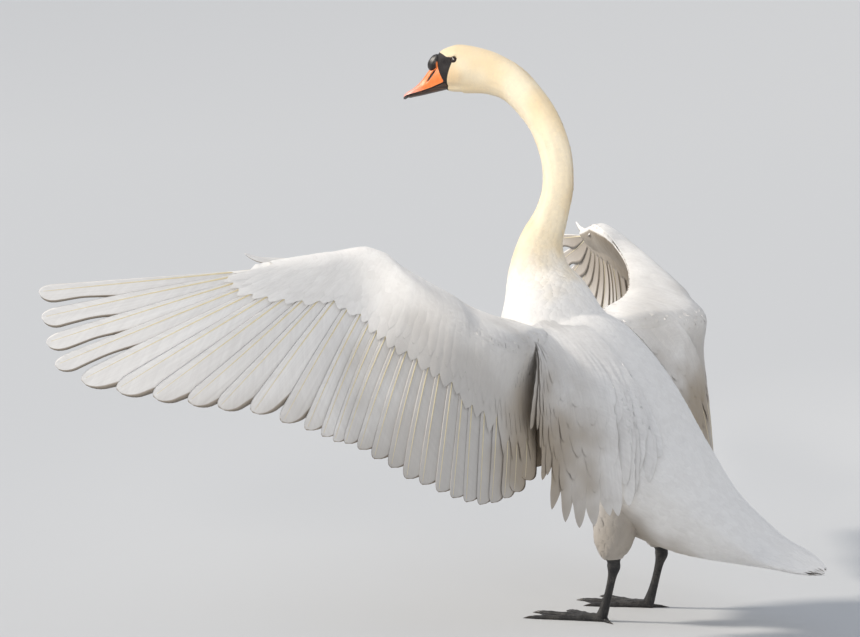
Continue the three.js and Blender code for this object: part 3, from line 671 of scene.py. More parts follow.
eye_finish, paint, shader = finish("dark_eye", Roughness=0.08, Coat_Weight=1.0, Coat_Roughness=0.02,
                                   Specular_IOR_Level=0.6)
iris = paint.mix(paint.noise(paint.place(), 2600.0), rgb(66, 38, 22), rgb(28, 16, 11))
past_pupil = paint.ramp(paint.stored("from_axis"), 2.1, 2.5)
paint.feed(shader["Base Color"], paint.mix(past_pupil, rgb(6, 5, 5), iris))
lid_finish, paint, shader = finish("lid_skin", Roughness=0.55, Specular_IOR_Level=0.35)
creases = paint.noise(paint.place(), 1500.0, 3.0)
paint.cover(shader, paint.mix(creases, rgb(20, 18, 18), rgb(62, 46, 42)), creases, 0.4, 0.0004)
radius = EYE["radius"]
for hand, side in SIDES.items():
    across, turn = around(np.linspace(0.02, np.pi - 0.02, 25), 36)
    ball = closed_piece("eyeball_" + hand, face_metres(
        EYE["ahead"] + radius * np.sin(across) * np.cos(turn), side * (EYE["side"] + radius * np.cos(across)),
        EYE["above"] + radius * np.sin(across) * np.sin(turn)))
    point_values(ball, "from_axis", radius * np.sin(across) + 9 * (np.cos(across) < 0))
    dress(ball, eye_finish, "eye", "eye_" + hand)
    turn, q = np.meshgrid(np.linspace(0, 2 * np.pi, 64, False), np.linspace(0, 1, 12), indexing="ij")
    corner = 1 + LID_CORNER * np.abs(np.cos(turn)) ** 6
    reach = LID_OPENING * corner + LID_WIDTH * q
    proud = LID_PROUD - 0.14 * (reach - LID_OPENING) ** 2 + 0.55 * np.sin(np.pi * np.clip(q * 2.2, 0, 1))
    proud = np.where(q > 0.99, LID_REAR, proud - 0.35 * (corner - 1) / LID_CORNER)
    ahead, above = reach * np.cos(turn), reach * np.sin(turn) * 0.94
    ahead, above = (np.concatenate([way, way[:, :1] * 1.02], 1) for way in (ahead, above))
    proud = np.concatenate([proud, np.full_like(turn[:, :1], LID_INSIDE)], 1)
    ring = face_metres(EYE["ahead"] + ahead * np.cos(LID_SLANT) - above * np.sin(LID_SLANT), side * proud,
                       EYE["above"] + ahead * np.sin(LID_SLANT) + above * np.cos(LID_SLANT))
    number = np.arange(ring.shape[0] * ring.shape[1]).reshape(ring.shape[:2])
    beside, after = np.roll(number, -1, 0), np.roll(number, -1, 1)
    corners = np.stack([number, beside, np.roll(beside, -1, 1), after], -1).reshape(-1, 4)
    if side < 0:
        corners = corners[:, ::-1]
    lids = mesh_piece("eyelids_" + hand, ring.reshape(-1, 3), [corners])
    dress(lids, lid_finish, "bill_dark")

# ---------------- bill
# The orange bill is a horny sheath over bone: high at its base, under a black fleshy knob, hollow along
# the top and flat and broad towards its nail. Its cutting edges, nostrils and base are black, and fine
# plates line the bite.
BILL = np.array([
    # distance ahead, half width, top of the bill, bite line and bottom of the lower bill
    [30, 18.5, 8, -34, -48], [45, 17.5, 5, -35, -47], [64, 15.5, -3, -36, -45], [78, 15, -12, -36, -43.5],
    [92, 16, -19.5, -35.5, -42], [106, 17, -24.5, -34.5, -40], [118, 14.5, -28, -34.5, -38.5],
    [125, 9, -31.5, -36, -37.5], [128, 3, -35, -37.5, -38]])
BILL_REAR, BILL_TIP, LOWER_TIP = 34.0, 128.0, 121.0
BILL_SEAM = np.array([
    # height above the bite line, how far ahead the orange begins
    [-2.0, 42], [1.5, 38], [4, 36.3], [8, 36.2], [14, 37.0], [26, 38.6], [36, 39.0], [44, 39.2], [52, 39.4]])
NAIL = {"ahead": 121.0, "length": 13.0, "width": 6.6}
NOSTRIL = {"ahead": 58.5, "above": -13.5, "slope": np.radians(-36), "length": 16.0, "width": 2.7}
RIDGE, NAIL_RISE, HOOK, LIP, NOSTRIL_DEPTH, NOSTRIL_RIM = 0.9, 0.9, 1.4, 0.5, 2.4, 0.35
LAMELLA_PITCH, LAMELLA_DEPTH = 1.9, 0.42


def whole_rings(over, under):
    """Half rings over and under a shape as whole rings, without the ends that the two share."""
    return np.concatenate([over, under[:, -2:0:-1]], 1)


ahead, turn = np.meshgrid(np.linspace(0, 1, 150), np.linspace(0, np.pi, 90), indexing="ij")
ahead = BILL_REAR + (BILL_TIP - BILL_REAR) * (1 - (1 - ahead) ** 1.25)
half, top, bite, _ = np.moveaxis(along(BILL, ahead), -1, 0)
arch = np.clip(np.sin(turn), 0, None)
broad = smooth_step(70, 100, ahead)
rise = (top - bite) * arch ** (0.85 - 0.1 * broad)
slim = 1 - 0.16 * (1 - broad) * bell(arch, 0.75, 0.3)
sideways = half * np.cos(turn) * slim
ridge = RIDGE * (1 - smooth_step(60, 95, ahead)) * bell(sideways, 0, 3.2)
nail = smooth_step(1.12, 0.86, np.hypot((ahead - NAIL["ahead"]) / NAIL["length"], sideways / NAIL["width"]))
past, over = ahead - NOSTRIL["ahead"], bite + rise - NOSTRIL["above"]
slope_cos, slope_sin = np.cos(NOSTRIL["slope"]), np.sin(NOSTRIL["slope"])
slit = np.hypot((past * slope_cos + over * slope_sin) / NOSTRIL["length"],
                (over * slope_cos - past * slope_sin) / NOSTRIL["width"])
inwards = NOSTRIL_DEPTH * smooth_step(1.1, 0.5, slit) - NOSTRIL_RIM * bell(slit, 1.5, 0.4)
sideways = sideways - np.sign(sideways) * inwards
rise = rise + ridge + NAIL_RISE * nail
hook = HOOK * nail * smooth_step(120, BILL_TIP, ahead) * bell(sideways, 0, 5)
lip = LIP * bell(rise, 1.2, 1.2)
upper = face_metres(ahead, sideways + np.sign(sideways) * lip, bite + rise - hook)
seam = along(BILL_SEAM, np.clip(rise, -1.9, 52))[..., 0]
nail_reach = np.hypot((ahead - NAIL["ahead"] - 4) / 9, sideways / 5.5)
black_in = np.maximum.reduce([
    seam - ahead,
    (1.7 - rise) * smooth_step(34, 44, ahead),
    (0.95 - nail_reach) * 6,
    (0.85 - slit) * 3])
palate = face_metres(ahead, sideways * 0.93, np.minimum(bite + 0.9, bite + rise - 0.1))
upper_bill = closed_piece("upper_bill", whole_rings(upper, palate))
point_values(upper_bill, "black_in", whole_rings(black_in, np.ones_like(black_in)))
point_values(upper_bill, "tipward", whole_rings(ahead, ahead) / 100)

ahead, turn = np.meshgrid(np.linspace(0, 1, 190), np.linspace(0, np.pi, 60), indexing="ij")
ahead = BILL_REAR + (LOWER_TIP - BILL_REAR) * ahead
half, _, bite, bottom = np.moveaxis(along(BILL, ahead), -1, 0)
tip = np.sqrt(np.clip((LOWER_TIP + 0.5 - ahead) / 9, 0.02, 1))
depth = (bite - bottom) * np.clip(np.sin(turn), 0, None) ** 0.55
plates = smooth_step(0.30, 0.9, np.abs(np.cos(turn)))
plates = plates * smooth_step(36, 46, ahead) * smooth_step(118, 108, ahead)
plates = plates * (0.5 + 0.5 * np.sin(2 * np.pi * ahead / LAMELLA_PITCH))
sideways = (half * 0.9 * np.minimum(tip, 1) + LAMELLA_DEPTH * plates) * np.cos(turn)
lower = face_metres(ahead, sideways, bite + 0.5 - depth * np.minimum(tip * 1.2, 1))
floor_of_mouth = face_metres(ahead, sideways * 0.85, bite + 0.5 + 0 * turn)
lower_bill = closed_piece("lower_bill", whole_rings(lower, floor_of_mouth))
point_values(lower_bill, "plates", whole_rings(plates, 0 * plates))

horn_grain, paint, given, out = effect("horn_grain", [("Grain", "Float", 1.0)],
                                       [("Height", "Float"), ("Patch", "Float")])
place = paint.place()
fine = paint.noise(place, 1400.0, 4.0, 0.6)
pores = paint.add("TexVoronoi", Vector=place, Scale=800.0, feature="F1", output=0)
paint.feed(out["Height"], paint.times(paint.plus(fine, paint.times(pores, 0.4)), given["Grain"]))
paint.feed(out["Patch"], paint.noise(place, 160.0, 3.0))

bill_finish, paint, shader = finish("orange_bill", Roughness=0.42, Coat_Weight=0.08, Coat_Roughness=0.3)
grain = paint.add("Group", node_tree=horn_grain)
patch = grain.node.outputs["Patch"]
orange = paint.mix(patch, rgb(232, 110, 42), rgb(248, 146, 76))
orange = paint.mix(paint.ramp(paint.stored("tipward"), 0.72, 1.12), orange, rgb(244, 166, 150))
black = paint.mix(patch, rgb(20, 18, 18), rgb(44, 38, 36))
in_black = paint.ramp(paint.stored("black_in"), -0.35, 0.35)
paint.cover(shader, paint.mix(in_black, orange, black), grain, 0.3, 0.0004)
dress(upper_bill, bill_finish, "bill", "bill_upper")

lower_finish, paint, shader = finish("dark_bill", Roughness=0.45, Coat_Weight=0.05, Coat_Roughness=0.3)
grain = paint.add("Group", node_tree=horn_grain)
stretched = paint.add("VectorMath", paint.place(), (60.0, 60.0, 900.0), operation="MULTIPLY")
black = paint.mix(grain.node.outputs["Patch"], rgb(26, 22, 22), rgb(58, 46, 42))
black = paint.mix(paint.ramp(paint.noise(stretched, 1.0), 0.45, 0.7), black, rgb(92, 62, 42))
colour = paint.mix(paint.times(paint.stored("plates"), 0.35), black, rgb(96, 66, 50))
paint.cover(shader, colour, grain, 0.4, 0.0004)
dress(lower_bill, lower_finish, "bill_dark", "bill_lower")

KNOB = {"ahead": 46.5, "above": 7.0, "length": 16.0, "width": 11.8, "height": 15.5}
rise, turn = around(np.linspace(0.03, np.pi - 0.03, 60), 72)
lumps = 1 + 0.03 * np.sin(3 * turn + 1.0) * np.sin(2 * rise) + 0.02 * np.sin(5 * turn + 4 * rise)
cheeks = 1 + 0.12 * np.abs(np.sin(turn)) * bell(rise, 1.9, 0.7)
blunt = 1 - 0.10 * bell(turn, np.pi, 1.2) * bell(rise, 0.9, 0.6)
knob_ahead = (KNOB["ahead"] + KNOB["length"] * np.sin(rise) * np.cos(turn) * lumps * blunt
              - 0.30 * KNOB["height"] * np.cos(rise))
knob_above = KNOB["above"] + KNOB["height"] * np.cos(rise) * lumps
knob_side = KNOB["width"] * np.sin(rise) * np.sin(turn) * lumps * cheeks
knob = closed_piece("knob", face_metres(knob_ahead, knob_side, knob_above))
tongue = np.maximum.reduce([knob_ahead - 41.0 - 0.42 * (7.5 - knob_above), 38.9 - knob_ahead,
                            knob_above - 8.0])
point_values(knob, "black_in", tongue)
point_values(knob, "tipward", 0 * tongue)
dress(knob, bill_finish, "bill_dark", "bill_knob")

# ---------------- flight feathers
# Ten primaries grow from each hand, fifteen secondaries from the forearm and seven tertials from the
# elbow. Each is a stiff closed vane on a tapering shaft, with its front edge over the next one's rear.
FLIGHT = {"tertials": np.arange(0, 7), "secondaries": np.arange(7, 22), "primaries": np.arange(22, 32)}
VANE_ROWS, VANE_COLUMNS, VANE_FROM = 38, 9, 0.03
REAR_VANE, FRONT_VANE = 1.16, 0.30
REAR_DROP, FRONT_LIFT = 0.0011, 0.0006
VANE_ARCH = 1.6
BROADEST_END, BROADEST_SWELL = 0.026, 0.044
TERTIAL_TURN, TERTIAL_REAR, TERTIAL_FRONT = 0.85, 0.030, 0.017
SHAFT_TIP, SHAFT_WIDE, SHAFT_TALL = 0.00035, 0.0015, 0.0012
FINGERS = 28
FINGER_FROM, FINGER_BY, FINGER_SLIM = 0.54, 0.84, 0.60
TIP_FROM = 0.93
PATCH = 0.003
LEAST_FACING = 0.3


def vane_rows(count, crowding=1.35):
    """Shares along a feather, closer together towards its tip."""
    return 1 - (1 - np.linspace(0, 1, count)) ** crowding


def plumes(name, material, rings, spots, across, down, shading=None, nodes=()):
    """One mesh of many closed vanes, dressed as plumage, with its OFBake patches, its vane map in metres
    across and down each feather, and a tone drawn for each feather. shading, where given, is the
    direction each point is lit by."""
    piece = tubes_piece(name, rings)
    corners = np.empty(len(piece.data.loops), np.int32)
    piece.data.loops.foreach_get("vertex_index", corners)
    maps = {"OFBake": spots, "vane": np.stack(np.broadcast_arrays(across, down), -1)}
    for label, values in maps.items():
        flat = np.broadcast_to(values, (*rings.shape[:3], 2)).reshape(-1, 2)
        layer = piece.data.uv_layers.new(name=label)
        layer.uv.foreach_set("vector", flat[corners].astype(np.float32).ravel())
    tones = rng.uniform(0, 1, (len(rings), 1, 1))
    point_values(piece, "tone", np.broadcast_to(tones, rings.shape[:3]))
    if shading is not None:
        flat = np.empty(len(piece.data.polygons) * 3, np.float32)
        piece.data.polygons.foreach_get("normal", flat)
        sizes = np.empty(len(piece.data.polygons), np.int32)
        piece.data.polygons.foreach_get("loop_total", sizes)
        own = np.repeat(flat.reshape(-1, 3), sizes, axis=0)
        lit = shading.reshape(-1, 3)[corners]
        short = np.clip(LEAST_FACING - dot(own, lit), 0, None)
        piece.data.normals_split_custom_set(unit(lit + own * short).tolist())
    dress(piece, material, "plumage", *nodes)


def patches(spots, rings):
    """Small squares of the OFBake map, one for each feather at its root's spot, tip upwards."""
    steps, sides = rings.shape[1:3]
    grid = np.stack(np.meshgrid(np.linspace(0, 1, sides), np.linspace(0, 1, steps)), -1)
    return np.asarray(spots)[:, None, None, :] * (1 - PATCH) + grid * PATCH


def strips(rings, across):
    """Wide strips of the OFBake map side by side, one for each long feather, tip upwards."""
    count, steps = rings.shape[:2]
    share = 0.5 + 0.45 * np.broadcast_to(across / np.abs(across).max(), rings.shape[:3])
    start = np.arange(count)[:, None, None]
    length = np.broadcast_to(np.linspace(0.01, 0.99, steps)[None, :, None], rings.shape[:3])
    return np.stack([(start + share) / count, length], -1)


def blades(centre, upper, sideways, rear, front, drop, lift, thick, columns=VANE_COLUMNS, arch=0.0):
    """Closed vanes on centre lines: rear and front widths to either side, the rear edge lower and the
    front edge higher, a lens-shaped section, and an arch across. Returns rings and widths across."""
    q = np.linspace(-1, 1, columns)
    q = np.concatenate([q, q[-2:0:-1]])
    face_sign = np.concatenate([np.ones(columns), -np.ones(columns - 2)])
    rear, front, drop, lift, thick = (np.asarray(x, float)[..., None]
                                      for x in (rear, front, drop, lift, thick))
    across = np.where(q < 0, q * rear, q * front)
    height = np.where(q < 0, q * drop, q * lift) + arch * across * across
    height = height + face_sign * thick / 2 * np.sqrt(np.clip(1 - q * q, 0, 1))
    rings = centre[:, :, None] + sideways[:, :, None] * across[..., None]
    return rings + upper[:, :, None] * height[..., None], across


def cross_lines(centre, pitch, upper):
    """The way across each feather line: the pitch to the next feather, made square to the line. Gives
    that direction, the pitch's width and the upper side's direction square to both."""
    tangent = unit(np.gradient(centre, axis=1))
    sideways = pitch - tangent * dot(pitch, tangent)
    sideways = sideways - upper * dot(sideways, upper)
    width = np.linalg.norm(sideways, axis=-1)
    sideways = unit(sideways)
    square = np.cross(sideways, tangent)
    return sideways, width, unit(np.where(dot(square, upper) < 0, -square, square))


vane_grain, paint, given, out = effect("vane_grain", [("Relief", "Float", 1.0)],
                                       [("Height", "Float"), ("Shade", "Float")])
vane = paint.add("UVMap", uv_map="vane")
across, down = paint.part(vane, 0), paint.part(vane, 1)
slant = paint.math("SUBTRACT", down, paint.times(paint.math("ABSOLUTE", across), 1.2))
seed = paint.times(paint.stored("tone"), 40.0)


def streaks(first, first_scale, second, second_scale):
    """Noise with so many lumps to a metre along the first way and along the second, new on each feather."""
    return paint.noise(paint.add("CombineXYZ", paint.times(first, first_scale), seed,
                                 paint.times(second, second_scale)), 1.0)


barbs, locks = streaks(slant, 900.0, across, 60.0), streaks(slant, 110.0, across, 25.0)
paint.feed(out["Height"], paint.times(paint.plus(paint.times(barbs, 0.35), locks), given["Relief"]))
long_streaks = streaks(across, 260.0, down, 9.0)
paint.feed(out["Shade"], paint.plus(paint.times(locks, 0.5), paint.times(long_streaks, 0.5)))


def plumage(name, relief, shade_depth, tone_depth, roughness=0.72, sheen=0.12, painted_shade_below=None):
    """White plumage with the swan's colours and painted shade: barbs in relief, paler and greyer locks, and
    each feather a little off its neighbours. A colour given for the faces that look down paints shade on
    them."""
    material, paint, shader = finish(name, Roughness=roughness, Sheen_Weight=sheen, Sheen_Roughness=0.5,
                                     Specular_IOR_Level=0.25)
    colour = paint.add("Group", node_tree=markings_and_shade)
    grain = paint.add("Group", node_tree=vane_grain)
    shade = paint.ramp(grain.node.outputs["Shade"], 0.3, 0.7, 1.0 - shade_depth, 1.0)
    shade = paint.times(shade, paint.ramp(paint.stored("tone"), 0.0, 1.0, 1.0 - tone_depth, 1.0))
    colour = paint.mix(shade, rgb(176, 170, 166), colour)
    # Painted shade: faces whose normal looks down are darkened by the given colour.
    if painted_shade_below:
        shaded_below = paint.mix(1.0, colour, painted_shade_below, "MULTIPLY")
        facing = paint.part(paint.add("NewGeometry", output=1), 2)
        colour = paint.mix(paint.ramp(facing, 0.05, -0.35), colour, shaded_below)
    paint.cover(shader, colour, grain, relief, 0.0006)
    return material


# The flight vanes' faces that look down carry greyish brown painted shade.
flight_finish = plumage("flight_vanes", 0.35, 0.22, 0.12, roughness=0.6, sheen=0.05, painted_shade_below=rgb(182, 172, 160))
quill_finish, paint, shader = finish("quill_horn", Roughness=0.4, Specular_IOR_Level=0.4)
horn = paint.mix(paint.noise(paint.place(), 60.0), rgb(236, 226, 196), rgb(222, 206, 166))
paint.feed(shader["Base Color"], horn)

for hand, side in SIDES.items():
    shafts = []
    for group, numbers in FLIGHT.items():
        n = numbers[:, None] + rng.uniform(-0.04, 0.04, (len(numbers), 1))
        reach = 1 + rng.uniform(-0.012, 0.006, (len(numbers), 1))
        s = (VANE_FROM + (1 - VANE_FROM) * vane_rows(VANE_ROWS)[None]) * reach
        wing = wing_at(n, side)
        bow = rng.uniform(-0.0008, 0.0008, (len(numbers), 1, 1)) * (s ** 2)[..., None]
        centre = quill_line(wing, s)
        pitch = quill_line(wing_at(n + 0.5, side), s) - quill_line(wing_at(n - 0.5, side), s)
        sideways, width, upper = cross_lines(centre, pitch, wing["upper"])
        ahead, behind = (quill_line(wing_at(np.clip(n + way, -1, 31.5), side), s) - centre
                         for way in (1, -1))
        slope = np.arctan2(dot(ahead - behind, upper), dot(ahead - behind, sideways))
        inner = smooth_step(5.5, 1.5, n)[..., None]
        turn = slope * (1 - inner) - TERTIAL_TURN * inner
        sideways, upper = (sideways * np.cos(turn) + upper * np.sin(turn),
                           upper * np.cos(turn) - sideways * np.sin(turn))
        bend = dot(ahead + behind, upper)[..., 0] / 2 / width ** 2
        centre = centre + upper * bow
        share = s / reach
        tip = np.sqrt(np.clip(1 - (np.clip(share - TIP_FROM, 0, None) / (1 - TIP_FROM)) ** 2, 0.0004, 1))
        finger = smooth_step(FINGER_FROM, FINGER_BY, share) * (numbers >= FINGERS)[:, None]
        rear = width * (REAR_VANE - FINGER_SLIM * finger) * tip * smooth_step(-0.05, 0.25, share)
        front = width * (FRONT_VANE - 0.02 * finger) * tip
        broadest = BROADEST_END + BROADEST_SWELL * np.sin(np.pi * np.clip(share, 0, 1) ** 0.8)
        rear = np.clip(rear, 0, broadest * tip)
        tertial = smooth_step(6.5, 4.5, n)
        rear = rear + (TERTIAL_REAR * tip * smooth_step(-0.05, 0.25, share) - rear) * tertial
        front = front + (TERTIAL_FRONT * tip * smooth_step(0.04, 0.3, share) - front) * tertial
        bend = (bend * (1 - tertial) * (1 - finger) - VANE_ARCH)[..., None]
        ragged = 1 + 0.008 * np.sin(share * 47 + 9 * n) * (share > 0.4)
        thick = 0.0006 - 0.0003 * share
        rings, across = blades(centre, upper, sideways, rear * ragged, front, REAR_DROP * tip,
                               FRONT_LIFT * tip, thick, arch=bend)
        plumes(f"{group}_vanes_{hand}", flight_finish, rings, strips(rings, across), across,
               s[..., None] * 0.35, nodes=[f"{group}_{hand}"])
        turn = np.linspace(0, 2 * np.pi, 8, endpoint=False)
        taper = (1 - share[:, :-2, None]) ** 0.8
        wide = (SHAFT_TIP + SHAFT_WIDE * taper) * np.cos(turn)
        tall = (SHAFT_TIP + SHAFT_TALL * taper) * np.sin(turn)
        shafts.append(centre[:, :-2, None] + sideways[:, :-2, None] * wide[..., None]
                      + upper[:, :-2, None] * tall[..., None])
    dress(tubes_piece("quills_" + hand, np.concatenate(shafts)), quill_finish, "plumage")

# ---------------- wing coverts
# Rows of soft coverts clothe both faces of each wing like tiles. The rear row hides the quills of the
# flight feathers; each row before it is shorter, and the front edge is a nap of tiny ones.
COVERT_REACH = np.array([
    # n, share of the flight feather that the coverts hide above and below
    [-1, 0.99, 0.60], [2, 0.97, 0.56], [4, 0.90, 0.50], [6, 0.74, 0.44], [8, 0.58, 0.40], [11, 0.46, 0.37],
    [16, 0.42, 0.34], [21, 0.36, 0.32], [26, 0.33, 0.28], [31.5, 0.26, 0.24]])
UPPER_ROWS = [
    # start and end along the covered chord, spacing in metres, rise at the tip in metres
    (0.36, 1.00, None, 0.0010), (0.27, 0.86, 0.0150, 0.0018), (0.20, 0.72, 0.0140, 0.0020),
    (0.145, 0.60, 0.0130, 0.0022), (0.10, 0.50, 0.0120, 0.0024), (0.065, 0.41, 0.0110, 0.0025),
    (0.035, 0.33, 0.0100, 0.0026), (0.015, 0.26, 0.0095, 0.0026), (0.005, 0.195, 0.0090, 0.0026),
    (0.0, 0.14, 0.0085, 0.0025), (0.0, 0.09, 0.0080, 0.0022)]
UNDER_ROWS = [
    (0.38, 0.98, None, 0.0014), (0.26, 0.78, 0.0160, 0.0018), (0.16, 0.60, 0.0145, 0.0022),
    (0.09, 0.45, 0.0130, 0.0024), (0.04, 0.32, 0.0115, 0.0024), (0.01, 0.21, 0.0100, 0.0024),
    (0.0, 0.12, 0.0090, 0.0022)]
LAST_COVERT = 30.1
GREAT_WIDE, SMALL_WIDE, COVERT_WIDTHS = 1.95, 1.9, (0.009, 0.045)
GREAT_BLUNT, SMALL_BLUNT = 6.0, 3.0
INNER_LIFT = 1.5
SETTLE_REACH = 0.62
QUILL_THICK = 0.0016
WALL_N, WALL_V = np.linspace(-1.5, 32.0, 200), np.linspace(0.0, 1.25, 90)
METRIC_STEP = 0.02
KEEL, LEAST_KEEL = 0.0014, 0.0002
TIP_TUCK = 0.3
EDGE_DROOP = 0.10
COVERT_SECTION = [-1, -0.45, 0, 0.45, 1]


def wing_wall(n, v, side, face_sign):
    """A point on the wing under its coverts at feather count n and share v of the covered chord from the
    leading edge back. Above, it falls from the arm to the quills as a bell does, without a step."""
    n, v = np.broadcast_arrays(n, v)
    wing = wing_at(n, side)
    depth = np.linalg.norm(wing["root"] - wing["lead"], axis=-1)
    length = np.linalg.norm(wing["tip"] - wing["root"], axis=-1)
    hidden = along(COVERT_REACH, np.clip(n, -1, 31.5))[..., 0 if face_sign > 0 else 1]
    chord = np.clip(v, 0.0005, None) * (depth + hidden * length)
    s = np.clip(chord - depth, 0, None) / length
    q = np.where(chord < depth, ARM_FRONT * chord / depth, ARM_FRONT + (1 - ARM_FRONT) * s / ARM_REACH)
    share = np.clip(q, 0, 1)[..., None]
    bulge = wing["above"] if face_sign > 0 else wing["below"]
    rear = ARM_REAR - (ARM_REAR - QUILL_THICK) * smooth_step(ARM_REACH, 0.5, s)[..., None]
    past = q[..., None]
    full = np.where((past > ARM_FULLEST) & (face_sign > 0), bell(past, ARM_FULLEST, SETTLE_REACH),
                    fullness(share))
    return arm_line(wing, q) + wing["upper"] * face_sign * (bulge * full + rear * share)


def wall_outwards(side, face_sign):
    """The directions square to the wing wall on a grid of n and v, on the side that its face looks to."""
    n, v = np.meshgrid(WALL_N, WALL_V, indexing="ij")
    wall = wing_wall(n, v, side, face_sign)
    out = unit(np.cross(np.gradient(wall, axis=0), np.gradient(wall, axis=1)))
    facing = np.sum(out[:, 40:] * wing_at(n[:, 40:], side)["upper"]) * face_sign
    return out * np.sign(facing)


def between(grid, n, v):
    """Values of a grid over n and v, weighted between its four nearest points."""
    row = np.clip((n - WALL_N[0]) / (WALL_N[-1] - WALL_N[0]), 0, 0.9999) * (len(WALL_N) - 1)
    column = np.clip((v - WALL_V[0]) / (WALL_V[-1] - WALL_V[0]), 0, 0.9999) * (len(WALL_V) - 1)
    i, j = row.astype(int), column.astype(int)
    a, b = (row - i)[..., None], (column - j)[..., None]
    return ((grid[i, j] * (1 - a) + grid[i + 1, j] * a) * (1 - b)
            + (grid[i, j + 1] * (1 - a) + grid[i + 1, j + 1] * a) * b)


def contour(s, blunt=3.0, root=0.35, opened=0.4, rounding=0.55, least=0.02):
    """A feather's outline, 1 at its widest: it opens smoothly from a narrow root and closes in a round
    tip, as a power of 1 minus s to the blunt power."""
    opening = root + (1 - root) * smooth_step(0, opened, s)
    return opening * np.clip(1 - s ** blunt, 0, 1) ** rounding + least


def square_out(chart, u, v, height, points):
    """The direction square to a chart's surface at points, on the side where height mostly grows."""
    step = 1e-4
    out = unit(chart(u, v, height + step) - points)
    square = np.cross(chart(u + step, v, height) - points, chart(u, v + step, height) - points)
    square = square * np.sign(np.sum(unit(square) * out))
    size = np.linalg.norm(square, axis=-1, keepdims=True)
    return np.where(size > 1e-14, square / np.maximum(size, 1e-14), out)


def lay(chart, u, v, length, width, rise, rows, q, sink, blunt=3.0, sway=0.0, edge_lean=0.2,
        tip_lean=0.2, root_rise=0.8, soften=0.0):
    """Feathers laid on a surface chart(u across, v along the lie, height): each runs down v for its length
    and to both sides in u, rises quickly to its own height, then tucks in its tip and edges, over a keel
    that closes it below. They are lit as the surface is, with a lean out at the edges and the tip;
    soften spreads a bend of the surface that far up and down v."""
    step = 1e-3
    here = chart(u, v, 0 * u)
    per_u = np.linalg.norm(chart(u + step, v, 0 * u) - here, axis=-1) / step
    per_v = np.linalg.norm(chart(u, v + METRIC_STEP, 0 * u) - here, axis=-1) / METRIC_STEP
    s = vane_rows(rows, 1.5)[None, :, None]
    keel = np.append(np.zeros(len(q)), 1.0)
    q = np.append(q, 0.0)[None, None, :]
    u, v, length, width, rise, per_u, per_v, sway = (
        np.reshape(np.broadcast_to(x, np.shape(u)), (-1, 1, 1))
        for x in (u, v, length, width, rise, per_u, per_v, sway))
    outline = contour(s, blunt)
    across = q * width / 2 * outline
    down = length * s * (1 - EDGE_DROOP * q * q * s)
    opened = root_rise * smooth_step(0, 0.3, s) + (1 - root_rise) * (1 - (1 - s) ** 1.7)
    height = rise * opened * (1 - TIP_TUCK * smooth_step(0.6, 1, s)) - sink * width * outline * q * q
    height = height - keel * (KEEL * (1 - s ** 4) + LEAST_KEEL)
    u_ring = u + (across + sway * down) / per_u
    v_ring = v + down / per_v
    rings = chart(u_ring, v_ring, height)
    sideways = unit(rings[:, :, -2:-1] - rings[:, :, :1])
    tipward = unit(np.gradient(rings.mean(2, keepdims=True), axis=1))
    square = square_out(chart, u_ring, v_ring, height, rings)
    for shift in (-soften, -soften / 2, soften / 2, soften) if soften else ():
        v_near = np.clip(v_ring + shift, 0.002, 1.2)
        square = square + square_out(chart, u_ring, v_near, height, chart(u_ring, v_near, height))
    shading = unit(unit(square) + edge_lean * q[..., None] * sideways
                   + tip_lean * (s - 0.4)[..., None] * tipward)
    return rings, across, down, shading


def joined(rows):
    """Rows of feathers, each as its rings and other values for their points, joined kind by kind."""
    return [np.concatenate([np.broadcast_to(row[kind], row[0].shape[:3] + row[kind].shape[3:])
                            for row in rows]) for kind in range(len(rows[0]))]


def wing_chart(side, face_sign):
    """A chart of one face of a wing: feather count n across it, v down it and height over its wall."""
    outwards = wall_outwards(side, face_sign)

    def chart(n, v, height):
        n, v, height = np.broadcast_arrays(n, v, height)
        return wing_wall(n, v, side, face_sign) + unit(between(outwards, n, v)) * height[..., None]
    return chart


covert_finish = plumage("covert_plumage", 0.30, 0.16, 0.10)
